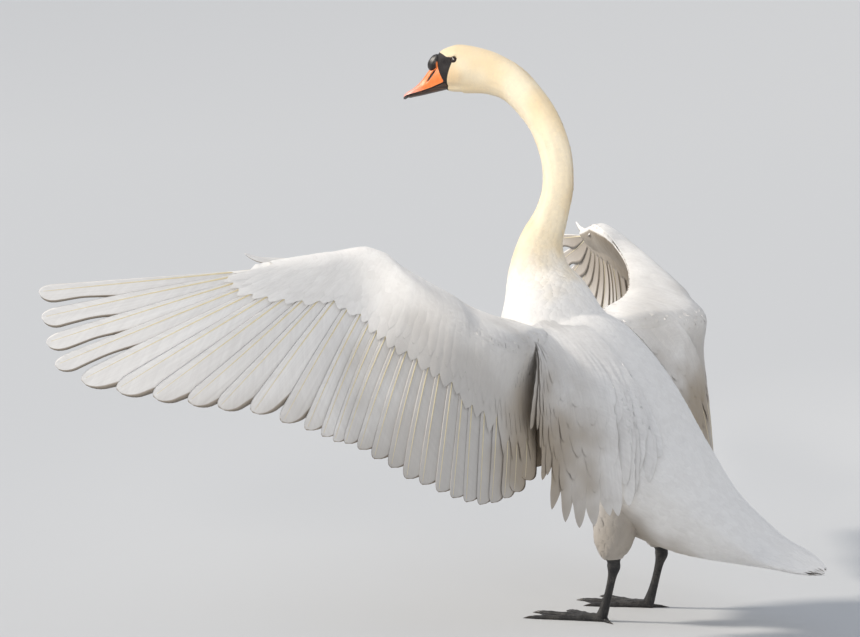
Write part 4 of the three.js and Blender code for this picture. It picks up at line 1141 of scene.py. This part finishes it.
# The underwing coverts' faces that look down carry a deeper brownish painted shade.
under_finish = plumage("underwing_plumage", 0.35, 0.20, 0.12, painted_shade_below=rgb(160, 148, 132))
FACES = (("upper", 1, UPPER_ROWS, covert_finish), ("under", -1, UNDER_ROWS, under_finish))
fine_n = np.linspace(-1, 31, 400)
for hand, side in SIDES.items():
    for face_name, face_sign, table, face_finish in FACES:
        chart = wing_chart(side, face_sign)
        made = []
        for v_from, v_to, spacing, rise in table:
            line = wing_wall(fine_n, (v_from + v_to) / 2, side, face_sign)
            travel = np.concatenate([[0], np.cumsum(np.linalg.norm(np.diff(line, axis=0), axis=1))])
            if spacing is None:
                n = np.arange(-0.5, LAST_COVERT)
                wide = GREAT_WIDE * np.gradient(travel, fine_n)[((n + 1) / 32 * 399).astype(int)]
            else:
                n = np.interp((np.arange(int(travel[-1] / spacing)) + 0.5) * spacing, travel, fine_n)
                n = n[n < LAST_COVERT]
                wide = np.full(len(n), spacing * SMALL_WIDE)
            n = n + rng.uniform(-0.12, 0.12, len(n)) * np.gradient(n)
            v = np.maximum(v_from + rng.uniform(-0.012, 0.012, len(n)), 0.001)
            step = chart(n, v + METRIC_STEP, 0 * n) - chart(n, v, 0 * n)
            length = (v_to - v) * np.linalg.norm(step, axis=-1) / METRIC_STEP
            length = length * rng.uniform(0.94, 1.03, len(n))
            wide = np.clip(wide, *COVERT_WIDTHS) * rng.uniform(0.92, 1.08, len(n))
            lifted = rise * rng.uniform(0.9, 1.1, len(n)) * (1 + INNER_LIFT * smooth_step(8, 3, n))
            row = lay(chart, n, v, length, wide, lifted, 11, COVERT_SECTION, 0.025, edge_lean=0.12,
                      soften=0.05, blunt=SMALL_BLUNT if spacing else GREAT_BLUNT)
            made.append((*row, patches(np.stack([(n + 1.5) / 34, v * 0.9], -1), row[0])))
        rings, across, down, shading, spots = joined(made)
        plumes(f"{face_name}_coverts_{hand}", face_finish, rings, spots, across, down, shading)

# ---------------- thumb feathers
# Two short stiff feathers stand on each thumb along the front edge of the hand, turned outwards.
THUMB = np.array([
    # t and the shaft's line as F, L, U
    [0.00, 192, 440, 140], [0.35, 226, 486, 137], [0.70, 268, 530, 137], [0.90, 296, 560, 143],
    [1.00, 310, 573, 152]])
THUMB_VANES = [
    # start and end along the line, height over it and half width, in metres
    (0.0, 1.0, 0.000, 0.0075), (-0.02, 0.72, -0.0030, 0.0060)]
THUMB_AT = 24.0
THUMB_OUTWARDS, THUMB_TURN = (-0.54, 0.84, 0.09), 2.0
THUMB_BURIED = 0.004

for hand, side in SIDES.items():
    s = vane_rows(20)[None]
    start, end, lift, wide = (np.array(x)[:, None] for x in zip(*THUMB_VANES))
    centre, = on_side(along(THUMB, start + (end - start) * s), side, 0)
    tangent = unit(np.gradient(centre, axis=1))
    outwards = turned(THUMB_OUTWARDS * np.array([1, side, 1]))
    upper = wing_at(np.array([[THUMB_AT]]), side)["upper"] + outwards * THUMB_TURN
    upper = unit(upper - tangent * dot(upper, tangent))
    sideways = np.cross(upper, tangent)
    centre = centre + upper * (lift - THUMB_BURIED * smooth_step(0.7, 0.3, s))[..., None]
    half = wide * contour(s, 4.0, 0.5)
    rings, across = blades(centre, upper, sideways, half, half, 0.001, 0.001, 0.0007, 7, arch=-4.0)
    plumes("thumb_feathers_" + hand, flight_finish, rings, strips(rings, across), across,
           s[..., None] * 0.1, nodes=["thumb_" + hand])

# ---------------- shoulder feathers
# Long blunt feathers hang from each shoulder behind the wing, in layers, the longest beneath. They are
# loose and soft, with the vanes arched over their shafts, and the innermost cling to the back.
SHOULDER = np.array([
    # k from the back outwards, root and tip as F, L, U, camber, and where the feather leaves the skin
    [-3, -104, 60, -50, -288, 76, -246, 9, -62, 48, -6],
    [-2, -110, 83, -34, -264, 106, -256, 19, -50, 64, 0],
    [-1, -114, 105, -16, -238, 132, -290, 24, -32, 80, 5],
    [0, -114, 124, -2, -214, 150, -320, 24, -18, 98, 8],
    [1, -100, 137, 6, -198, 172, -334, 26, -14, 116, 10],
    [2, -88, 150, 11, -174, 212, -342, 26, -16, 136, 12],
    [3, -80, 166, 14, -152, 252, -332, 24, -22, 156, 12],
    [4, -78, 184, 16, -136, 300, -292, 20, -28, 176, 12],
    [5, -80, 204, 18, -132, 298, -216, 14, -32, 198, 13],
    [6, -86, 226, 20, -126, 326, -163, 10, -36, 218, 14]], float)
SHOULDER_LAYERS = [
    # count, start and end along the longest feather's line, height over it and half width, in metres
    (14, 0.10, 1.00, 0.0005, 0.0215), (14, 0.06, 0.88, 0.0020, 0.0210), (15, 0.03, 0.76, 0.0034, 0.0205),
    (15, 0.0, 0.65, 0.0046, 0.0200), (16, 0.0, 0.54, 0.0056, 0.0195), (17, 0.0, 0.44, 0.0064, 0.0190),
    (18, 0.0, 0.34, 0.0070, 0.0180), (19, 0.0, 0.25, 0.0074, 0.0165)]
LEAST_K = {"left": -2.0, "right": 1.2}
FREE_FROM = {"left": 0.3, "right": 5.0}
CLING_FADE = 2.3
LEAVES_SKIN = 0.42
ROOT_BURIED = 0.006
TRUNK_CLEAR, PUSH_SOFT = 0.001, 0.006
LEAST_HALF = 0.0004


def shoulder_line(k, s, side):
    """Points of the shoulder feathers' sheet: root to tip, arched as a wing feather is, but bent forward
    near the root to where the skin is, by the square of what is left to LEAVES_SKIN."""
    row = along(SHOULDER, np.clip(k, -3, 6))
    root, tip, start = on_side(row, side, 0, 3, 7)
    near, far = (on_side(along(SHOULDER, np.clip(k + way, -3, 6)), side, 0)[0] for way in (-0.5, 0.5))
    upper = upper_side(far - near, tip - root)
    sheet = {"root": root, "tip": tip, "upper": upper, "camber": row[..., 6:7] * 0.001}
    bend = np.clip(1 - s / LEAVES_SKIN, 0, 1)[..., None] ** 2
    return quill_line(sheet, s) + (start - root) * bend, upper


t, angle = around(np.linspace(0.05, 0.5, 90), 90)
trunk, proud = (placed(body(t, angle, grow)).reshape(-1, 3) for grow in (0, 1))
trunk_out = unit(proud - trunk)


def over_trunk(points, cling):
    """Points moved out of the trunk to lie clear of its coat, and down to it by the share cling, with the
    way out of the trunk there and how near they lie, 1 on the coat and 0 well above. The push is soft:
    PUSH_SOFT times the log of 1 plus e to what is short over PUSH_SOFT."""
    flat = points.reshape(-1, 3)
    gap = (flat ** 2).sum(1)[:, None] + (trunk ** 2).sum(1)[None] - 2 * flat @ trunk.T
    nearest = np.argmin(gap, 1)
    out = trunk_out[nearest]
    height = dot(flat - trunk[nearest], out)[:, 0]
    short = (TRUNK_CLEAR - height) / PUSH_SOFT
    push = PUSH_SOFT * np.where(short > 20, short, np.log1p(np.exp(np.clip(short, -40, 20))))
    spare = np.clip(height + push - TRUNK_CLEAR, 0, None)
    push = push - np.broadcast_to(cling, points.shape[:-1]).ravel() * spare
    near = smooth_step(0.030, 0.0, height + push)
    shape = points.shape
    return (flat + out * push[:, None]).reshape(shape), out.reshape(shape), near.reshape(*shape[:-1], 1)


mantle_finish = plumage("mantle_plumage", 0.35, 0.20, 0.10)
for hand, side in SIDES.items():
    made = []
    cling_to = FREE_FROM[hand]
    for count, start, end, height, wide in SHOULDER_LAYERS:
        k = np.linspace(LEAST_K[hand], 6, count)[:, None] + rng.uniform(-0.2, 0.2, (count, 1))
        stop = end * (1 + rng.uniform(-0.06, 0.02, (count, 1)))
        share = vane_rows(26)[None]
        s = start + (stop - start) * share
        drift = rng.uniform(-0.3, 0.3, (count, 1)) * share ** 2
        centre, sheet_out = shoulder_line(k + drift, s, side)
        beside, behind = (shoulder_line(k + drift + way, s, side)[0] for way in (0.4, -0.4))
        sideways, _, upper = cross_lines(centre, beside - behind, sheet_out)
        lift = height + rng.uniform(-0.0004, 0.0010, (count, 1)) * share ** 3
        lift = lift - (ROOT_BURIED + height) * smooth_step(0.25, 0.0, share)
        centre, trunk_side, near = over_trunk(centre, smooth_step(cling_to, cling_to - CLING_FADE, k))
        upper = unit(upper * (1 - near) + trunk_side * near)
        tangent = unit(np.gradient(centre, axis=1))
        beside = np.cross(tangent, upper)
        sideways = unit(beside) * np.sign(np.sum(beside * sideways))
        centre = centre + upper * np.broadcast_to(lift, s.shape)[..., None]
        half = wide * contour(share, 6, 0.45, 0.3, 0.7, 0) + LEAST_HALF
        half = half * (1 + 0.04 * np.sin(share * 45 + 20 * k))
        rings, across = blades(centre, upper, sideways, half, half, 0.0010, -0.0010, 0.0006, 7, arch=-4.0)
        lean = across[..., None] / wide * 0.25
        made.append((rings, across, (share * 0.3)[..., None],
                     unit(upper[:, :, None] + sideways[:, :, None] * lean)))
    rings, across, down, shading = joined(made)
    plumes("shoulder_plumes_" + hand, mantle_finish, rings, strips(rings, across), across, down, shading,
           nodes=["shoulder_feathers_" + hand])

# ---------------- tail
# Twenty-two stiff feathers make a blunt wedge, arched across, each over its outer neighbour. The soft
# plumage of the rump and vent hides their quills.
TAIL_FEATHERS = 22
TAIL_ROOT = 0.115
TAIL_EDGE = np.array([
    # share of the way out from the middle feather, t of the tip
    [0.0, 0.004], [0.45, 0.013], [0.75, 0.030], [1.0, 0.058]])
TAIL_HALF, TAIL_TUCK, TAIL_STEP = 0.0150, 0.001, 0.0045
FAN_ROOT, FAN_SPREAD = 0.55, 0.37


def tail_sheet(t, share, height):
    """The tail's surface in metres: share of the half width across, arched as a flat oval, and the height
    over its upper side."""
    row = along(SPINE, t)
    _, back = line_frame(SPINE, t)
    arch = row[..., 4] * np.sqrt(np.clip(1 - share * share, 0, 1))
    middle = row[..., :3] + back * (arch + height * 1000)[..., None]
    middle[..., 1] += share * row[..., 3]
    return placed(middle), turned(back)


s = vane_rows(26)[None]
place_out = np.linspace(-1, 1, TAIL_FEATHERS)[:, None]
order = np.abs(place_out)
tip_t = along(TAIL_EDGE, order[:, 0]) + rng.uniform(-0.001, 0.001, (TAIL_FEATHERS, 1))
t = TAIL_ROOT + (tip_t - TAIL_ROOT) * s
fan = np.clip(place_out * (FAN_ROOT + FAN_SPREAD * s), -0.97, 0.97)
centre, upper = tail_sheet(t, fan, -TAIL_TUCK - TAIL_STEP * order * (1 - 0.4 * s))
outer = np.sign(place_out)[..., None] * turned([0.0, 1.0, 0.0])
sideways, _, upper = cross_lines(centre, np.broadcast_to(outer, centre.shape), upper)
half = np.broadcast_to(TAIL_HALF * contour(s, 6, 0.5, 0.4, 0.6, 0) + LEAST_HALF, t.shape)
rings, across = blades(centre, upper, sideways, half, half * 0.8, 0.0010, -0.0010, 0.0006, 7, arch=-3.0)
plumes("tail_feathers", flight_finish, rings, strips(rings, across), across, s[..., None] * 0.2)

# ---------------- body, neck and head plumage
# The coat is tiles of soft feathers that run from the face down the neck and over the trunk to the
# tail: velvet on the head, fine on the neck, broad on the back and long over the tail and vent.
BODY_FEATHERS = np.array([
    # t, spacing, length and width in millimetres
    [0.0, 13, 62, 20], [0.06, 12, 60, 21], [0.12, 11.5, 56, 23], [0.25, 11, 48, 25], [0.45, 10.5, 44, 25],
    [0.55, 8.6, 34, 19], [0.62, 6.2, 24, 12], [0.7, 4.7, 17, 8.8], [0.85, 4.2, 15, 8.4], [0.91, 3.0, 12, 6.6],
    [0.95, 2.6, 10, 5.6], [1.0, 2.2, 8, 4.8]])
TRUNK_SECTION, FINE_SECTION = [-1, -0.4, 0.4, 1], [-1, 0, 1]
ROUND_JITTER, ROW_JITTER = 0.16, 0.22
LID_CLEAR = 7.0
COAT_SINK = 0.03


def body_chart(angle, lie, height):
    """The trunk, neck and head by angle round them and minus t along them, at a height over the skin."""
    t = np.clip(-lie, 0.0, 1.0)
    t, angle = np.broadcast_arrays(t, angle)
    return placed(body(t, angle, height * 1000 - along(COAT_DEPTH, t)[..., 0]))


def coat_grid(t_from, t_to):
    """Roots of body feathers between two stations: rows round the body as far apart as the spacing, each
    shifted by half a feather from the last, as t and angle."""
    t = np.linspace(t_from, t_to, 1500)
    line = along(SPINE, t)[:, :3]
    spacing = along(BODY_FEATHERS, t)[:, 0]
    step = np.linalg.norm(np.diff(line, axis=0), axis=1) / spacing[1:]
    count = np.concatenate([[0], np.cumsum(step)])
    rows = np.interp(np.arange(0.3, count[-1] + 0.2), count, t)
    t_roots, angle_roots = [], []
    for i, row in enumerate(rows):
        ring = body(np.full(60, row), np.linspace(0, 2 * np.pi, 60), np.zeros(60))
        round_length = np.sum(np.linalg.norm(np.diff(ring, axis=0), axis=1))
        number = max(int(round_length / (1.15 * along(BODY_FEATHERS, row)[0])), 4)
        place_round = np.arange(number) + 0.5 * (i % 2) + rng.uniform(-ROUND_JITTER, ROUND_JITTER, number)
        angle_roots.append(place_round / number * 2 * np.pi)
        t_roots.append(row + rng.uniform(-ROW_JITTER, ROW_JITTER, number) * (t_to - t_from) / len(rows))
    return np.concatenate(t_roots), np.concatenate(angle_roots)


def ridges(t, angle):
    """Soft wandering ridges that run down the neck, 0 to 1: two slanting waves round it, multiplied."""
    first = np.sin(7 * angle + 34 * t + 1.5 * np.sin(3 * angle - 50 * t))
    second = np.sin(11 * angle - 61 * t + 1.2 * np.sin(5 * angle + 37 * t))
    return 0.5 + 0.5 * first * second


def coat_piece(name, t_from, t_to, section, rows, finish_used, ruffle, furrow=0.0, lean=0.2, root_rise=0.8):
    """One stretch of the body's coat, left bare before the eyes and round the lids. ruffle is how much
    neighbours differ in height, furrow how deep the long soft ridges are."""
    t, angle = coat_grid(t_from, t_to)
    if t_to > 0.9:
        root = body_chart(angle, -t, 0 * t)
        ahead, _, above = head_measures(root)
        from_eye = np.hypot(ahead - EYE["ahead"], above - EYE["above"])
        keep = (bare_depth(root) < -0.5) & (from_eye > LID_CLEAR)
        t, angle = t[keep], angle[keep]
    _, length, width = along(BODY_FEATHERS, t).T * 0.001
    depth = along(COAT_DEPTH, t)[:, 0] * 0.001
    many = len(t)
    length = length * rng.uniform(0.85, 1.1, many)
    rise = depth * rng.uniform(1 - ruffle, 1.0, many) * (1 - furrow * ridges(t, angle))
    rings, across, down, shading = lay(body_chart, angle, -t, length, width * rng.uniform(0.9, 1.1, many),
                                       rise, rows, section, COAT_SINK, sway=rng.uniform(-0.12, 0.12, many),
                                       edge_lean=lean, tip_lean=lean, root_rise=root_rise)
    spots = np.stack([0.02 + 0.95 * (t - t_from) / (t_to - t_from),
                      np.mod(angle / (2 * np.pi), 1) * 0.99], -1)
    plumes(name, finish_used, rings, patches(spots, rings), across, down, shading)


body_finish = plumage("body_plumage", 0.35, 0.12, 0.08)
head_finish = plumage("velvet_plumage", 0.25, 0.08, 0.08, roughness=0.8, sheen=0.2)
coat_piece("rump_plumage", 0.035, 0.27, TRUNK_SECTION, 6, body_finish, 0.05)
coat_piece("back_and_breast_plumage", 0.27, 0.47, TRUNK_SECTION, 6, body_finish, 0.04)
coat_piece("neck_base_plumage", 0.47, 0.66, TRUNK_SECTION, 6, body_finish, 0.06, 0.08)
coat_piece("neck_plumage", 0.66, 0.885, FINE_SECTION, 5, body_finish, 0.08, 0.30, lean=0.12)
coat_piece("head_plumage", 0.885, 0.998, FINE_SECTION, 4, head_finish, 0.03, lean=0.07, root_rise=0.95)

# ---------------- thigh plumage
# Short loose feathers clothe each thigh like breeches, down to the top of the bare shank. They lie in
# rows round the limb, as the body's do.
THIGH_ROWS, THIGH_ROUND = 26, 34
THIGH_LEAST, THIGH_MORE = np.array([[0.012, 0.005, 0.002], [0.026, 0.013, 0.008]])[..., None]


def thigh_chart(side):
    """A chart of one thigh: angle round it, t down it and height over its skin."""
    def chart(angle, t, height):
        t, angle = np.broadcast_arrays(np.clip(t, -0.2, 0.545), angle)
        grow = height * 1000 - THIGH_COAT * smooth_step(FEATHERED_LEG + 0.02, 0.3, t)
        return placed(oval(LEG, t, angle, grow, side))
    return chart


row = np.repeat(np.arange(THIGH_ROWS), THIGH_ROUND)
many = len(row)
for hand, side in SIDES.items():
    t = np.linspace(-0.1, 0.50, THIGH_ROWS)[row] + rng.uniform(-0.01, 0.01, many)
    place_round = np.tile(np.arange(THIGH_ROUND), THIGH_ROWS) + 0.5 * (row % 2) + rng.uniform(-0.3, 0.3, many)
    angle = place_round / THIGH_ROUND * 2 * np.pi
    length, wide, rise = THIGH_LEAST + THIGH_MORE * smooth_step(0.58, 0.2, t)
    length = length * rng.uniform(0.85, 1.15, many)
    rise = rise * rng.uniform(0.8, 1.0, many)
    rings, across, down, shading = lay(thigh_chart(side), angle, t, length, wide, rise, 6, FINE_SECTION,
                                       COAT_SINK, sway=rng.uniform(-0.15, 0.15, many))
    spots = np.stack([np.mod(angle / (2 * np.pi), 1) * 0.99, (t + 0.15) * 1.4], -1)
    plumes("thigh_plumage_" + hand, body_finish, rings, patches(spots, rings), across, down, shading)

# ---------------- shanks
# Below the feathered thigh the leg is bare: a lean hock and shank in dark scaly skin, with broad plates
# down the front and small ones behind.
SHANK_FROM, SHANK_TO = 0.47, 1.06
SHANK_LENGTH = 230
PLATE_PITCH, PLATE_GROOVE = 3.4, 0.30
TENDON, ANKLE_HOLLOW, INTO_THIGH = 0.5, 0.6, 2.0
leg_finish, paint, shader = finish("scaly_leg_skin", Specular_IOR_Level=0.4)
place = paint.place()
cell_edge = paint.add("TexVoronoi", Vector=place, Scale=330.0, feature="DISTANCE_TO_EDGE", output=0)
groove = paint.ramp(cell_edge, 0.0, 0.14)
leather = paint.noise(place, 700.0, 3.0)
grey = paint.mix(paint.ramp(paint.noise(place, 45.0), 0.35, 0.65), rgb(44, 43, 44), rgb(78, 75, 72))
grey = paint.mix(paint.times(groove, paint.ramp(leather, 0.2, 0.8, 0.7, 1.0)), rgb(26, 25, 26), grey)
paint.cover(shader, grey, paint.plus(groove, paint.times(leather, 0.3)), 0.5, 0.0006)
paint.feed(shader["Roughness"], paint.ramp(leather, 0.3, 0.7, 0.42, 0.62))


def plate_groove(down):
    """How deep the groove between two plates is, so far down the leg or along a toe: greatest times 1
    minus the root of the sine's size, which is 0 on the middle of a plate."""
    return PLATE_GROOVE * (1 - np.abs(np.sin(np.pi * down / PLATE_PITCH)) ** 0.5)


for hand, side in SIDES.items():
    t, angle = around(np.linspace(SHANK_FROM, SHANK_TO, 160), 40)
    rearward = np.cos(angle)
    plates = plate_groove((t - SHANK_FROM) * SHANK_LENGTH)
    plates = plates * smooth_step(-0.3, 0.5, -rearward) * smooth_step(0.56, 0.62, t)
    tendon = TENDON * bell(rearward, 1.0, 0.25) * smooth_step(0.68, 0.76, t)
    hollow = ANKLE_HOLLOW * bell(rearward, 0.55, 0.2) + INTO_THIGH * smooth_step(0.53, 0.50, t)
    grow = tendon - plates - hollow
    shank = closed_piece("bare_shank_" + hand, placed(oval(LEG, t, angle, grow, side)))
    dress(shank, leg_finish, "leg_skin", "shank_" + hand)

# ---------------- feet and claws
# Three long toes with knuckles lie flat, joined by a thin wrinkled web, and a short hind toe stands
# behind. Every toe ends in its own blunt dark claw of horn.
TOE_ROOT = (-138.0, 87.0)
TOES = np.array([
    # length, angle outwards from straight ahead in degrees, half width, height at the root
    [112, -27, 7, 13], [142, -3, 7.5, 13], [136, 21, 7, 13], [26, 150, 4, 9]], float)
TOE_SHAPE = np.array([
    # share of the length, height share and width share
    [-0.06, 0.55, 0.9], [0.0, 1.0, 1.22], [0.14, 0.95, 1.1], [0.34, 0.7, 0.9], [0.6, 0.6, 0.82],
    [0.84, 0.5, 0.72], [0.95, 0.42, 0.6], [1.0, 0.22, 0.34]])
KNUCKLES, KNUCKLE_WIDE, KNUCKLE_HIGH = (0.30, 0.56, 0.80), 0.16, 0.10
CLAW = {"length": 13.0, "inset": 5.0, "half": 3.2, "height": 5.0}
HIND_CLAW_HALF, HIND_CLAW_HEIGHT = 0.6, 0.7
WEB_TOP, WEB_BOTTOM, WEB_SAG, WEB_BY_TOES = 2.0, 0.5, 0.6, 2.2
WEB_FOLD, WEB_FAN = 0.27, 0.5
OFF_FLOOR, CLAW_LIFT = 0.15, 0.2


def on_floor(ahead, outward, height, side):
    """Millimetres ahead and outwards from the body's middle, and over the floor, as model points."""
    ahead, outward, height = np.broadcast_arrays(ahead, outward, height)
    return placed(np.stack([ahead, outward * side, height - ORIGIN[2] * 1000], -1))


def toe_place(angle, reach, across):
    """How far ahead and outwards lies a point reach along a toe and across to its outer side."""
    return (TOE_ROOT[0] + reach * np.cos(angle) - across * np.sin(angle),
            TOE_ROOT[1] + reach * np.sin(angle) + across * np.cos(angle))


claw_finish, paint, shader = finish("claw_horn", Roughness=0.35, Specular_IOR_Level=0.5)
streak = paint.noise(paint.place(), 300.0, 3.0)
paint.cover(shader, paint.mix(streak, rgb(22, 20, 20), rgb(66, 56, 48)), streak, 0.25, 0.0003)

round_toe = np.linspace(0, 2 * np.pi, 20, endpoint=False)[None]
sine = np.clip(np.sin(round_toe), 0, None)
for hand, side in SIDES.items():
    shells, claws = [], []
    for length, degrees, wide, high in TOES:
        angle = np.radians(degrees)
        hind = degrees > 90
        share = np.linspace(-0.06, 1.0, 90)[:, None]
        height_share, width_share = np.moveaxis(along(TOE_SHAPE, share), -1, 0)
        knuckle = sum(bell(share, place_of, 0.045) for place_of in KNUCKLES) * (not hind)
        groove_cut = plate_groove(share * length)
        half = wide * width_share * (1 + KNUCKLE_WIDE * knuckle) - 0.5 * groove_cut
        rise = high * height_share * (1 + KNUCKLE_HIGH * knuckle) - groove_cut
        ahead, outward = toe_place(angle, share * length, half * np.cos(round_toe))
        shells.append(on_floor(ahead, outward, OFF_FLOOR + rise * sine ** 0.8, side))
        s = np.linspace(0, 1, 24)[:, None]
        taper = np.sqrt(np.clip(1 - s ** 1.6, 0.003, 1))
        half = CLAW["half"] * taper * (HIND_CLAW_HALF if hind else 1)
        rise = CLAW["height"] * taper * (1 - 0.75 * s ** 2) * (HIND_CLAW_HEIGHT if hind else 1)
        reach = length - CLAW["inset"] + (CLAW["length"] + CLAW["inset"] - 1) * s
        ahead, outward = toe_place(angle, reach, half * np.cos(round_toe))
        claws.append(on_floor(ahead, outward, OFF_FLOOR + CLAW_LIFT + rise * sine ** 0.9, side))
    foot_parts = [np.stack(shells)]
    for inner, outer in ((TOES[0], TOES[1]), (TOES[1], TOES[2])):
        a, r = np.meshgrid(np.linspace(0, 1, 41), np.linspace(0.06, 1, 60))
        reach, degrees = (inner[i] + (outer[i] - inner[i]) * a for i in (0, 1))
        edge = reach * (1 - WEB_SAG * a * (1 - a))
        ahead, outward = toe_place(np.radians(degrees), r * edge, 0 * a)
        hang = np.sin(np.pi * a)
        folds = WEB_FOLD * np.sin(38 * r * (1 + 0.15 * a) + 5 * a) * hang * smooth_step(0.1, 0.4, r)
        fan = WEB_FAN * np.sin(np.pi * 7 * a) * hang * r
        roof = on_floor(ahead, outward, WEB_TOP + WEB_BY_TOES * (1 - hang) ** 2 + folds + fan, side)
        base = on_floor(ahead, outward, WEB_BOTTOM, side)
        foot_parts.append(np.concatenate([roof, base[:, ::-1]], 1)[None])
    points, faces, first = [], [], 0
    for rings in foot_parts:
        points.append(rings.reshape(-1, 3))
        faces.extend(group + first for group in tube(rings))
        first += len(points[-1])
    foot = mesh_piece("webbed_foot_" + hand, np.concatenate(points), faces)
    dress(foot, leg_finish, "leg_skin", "foot_" + hand)
    dress(tubes_piece("claws_" + hand, np.stack(claws)), claw_finish, "leg_skin")
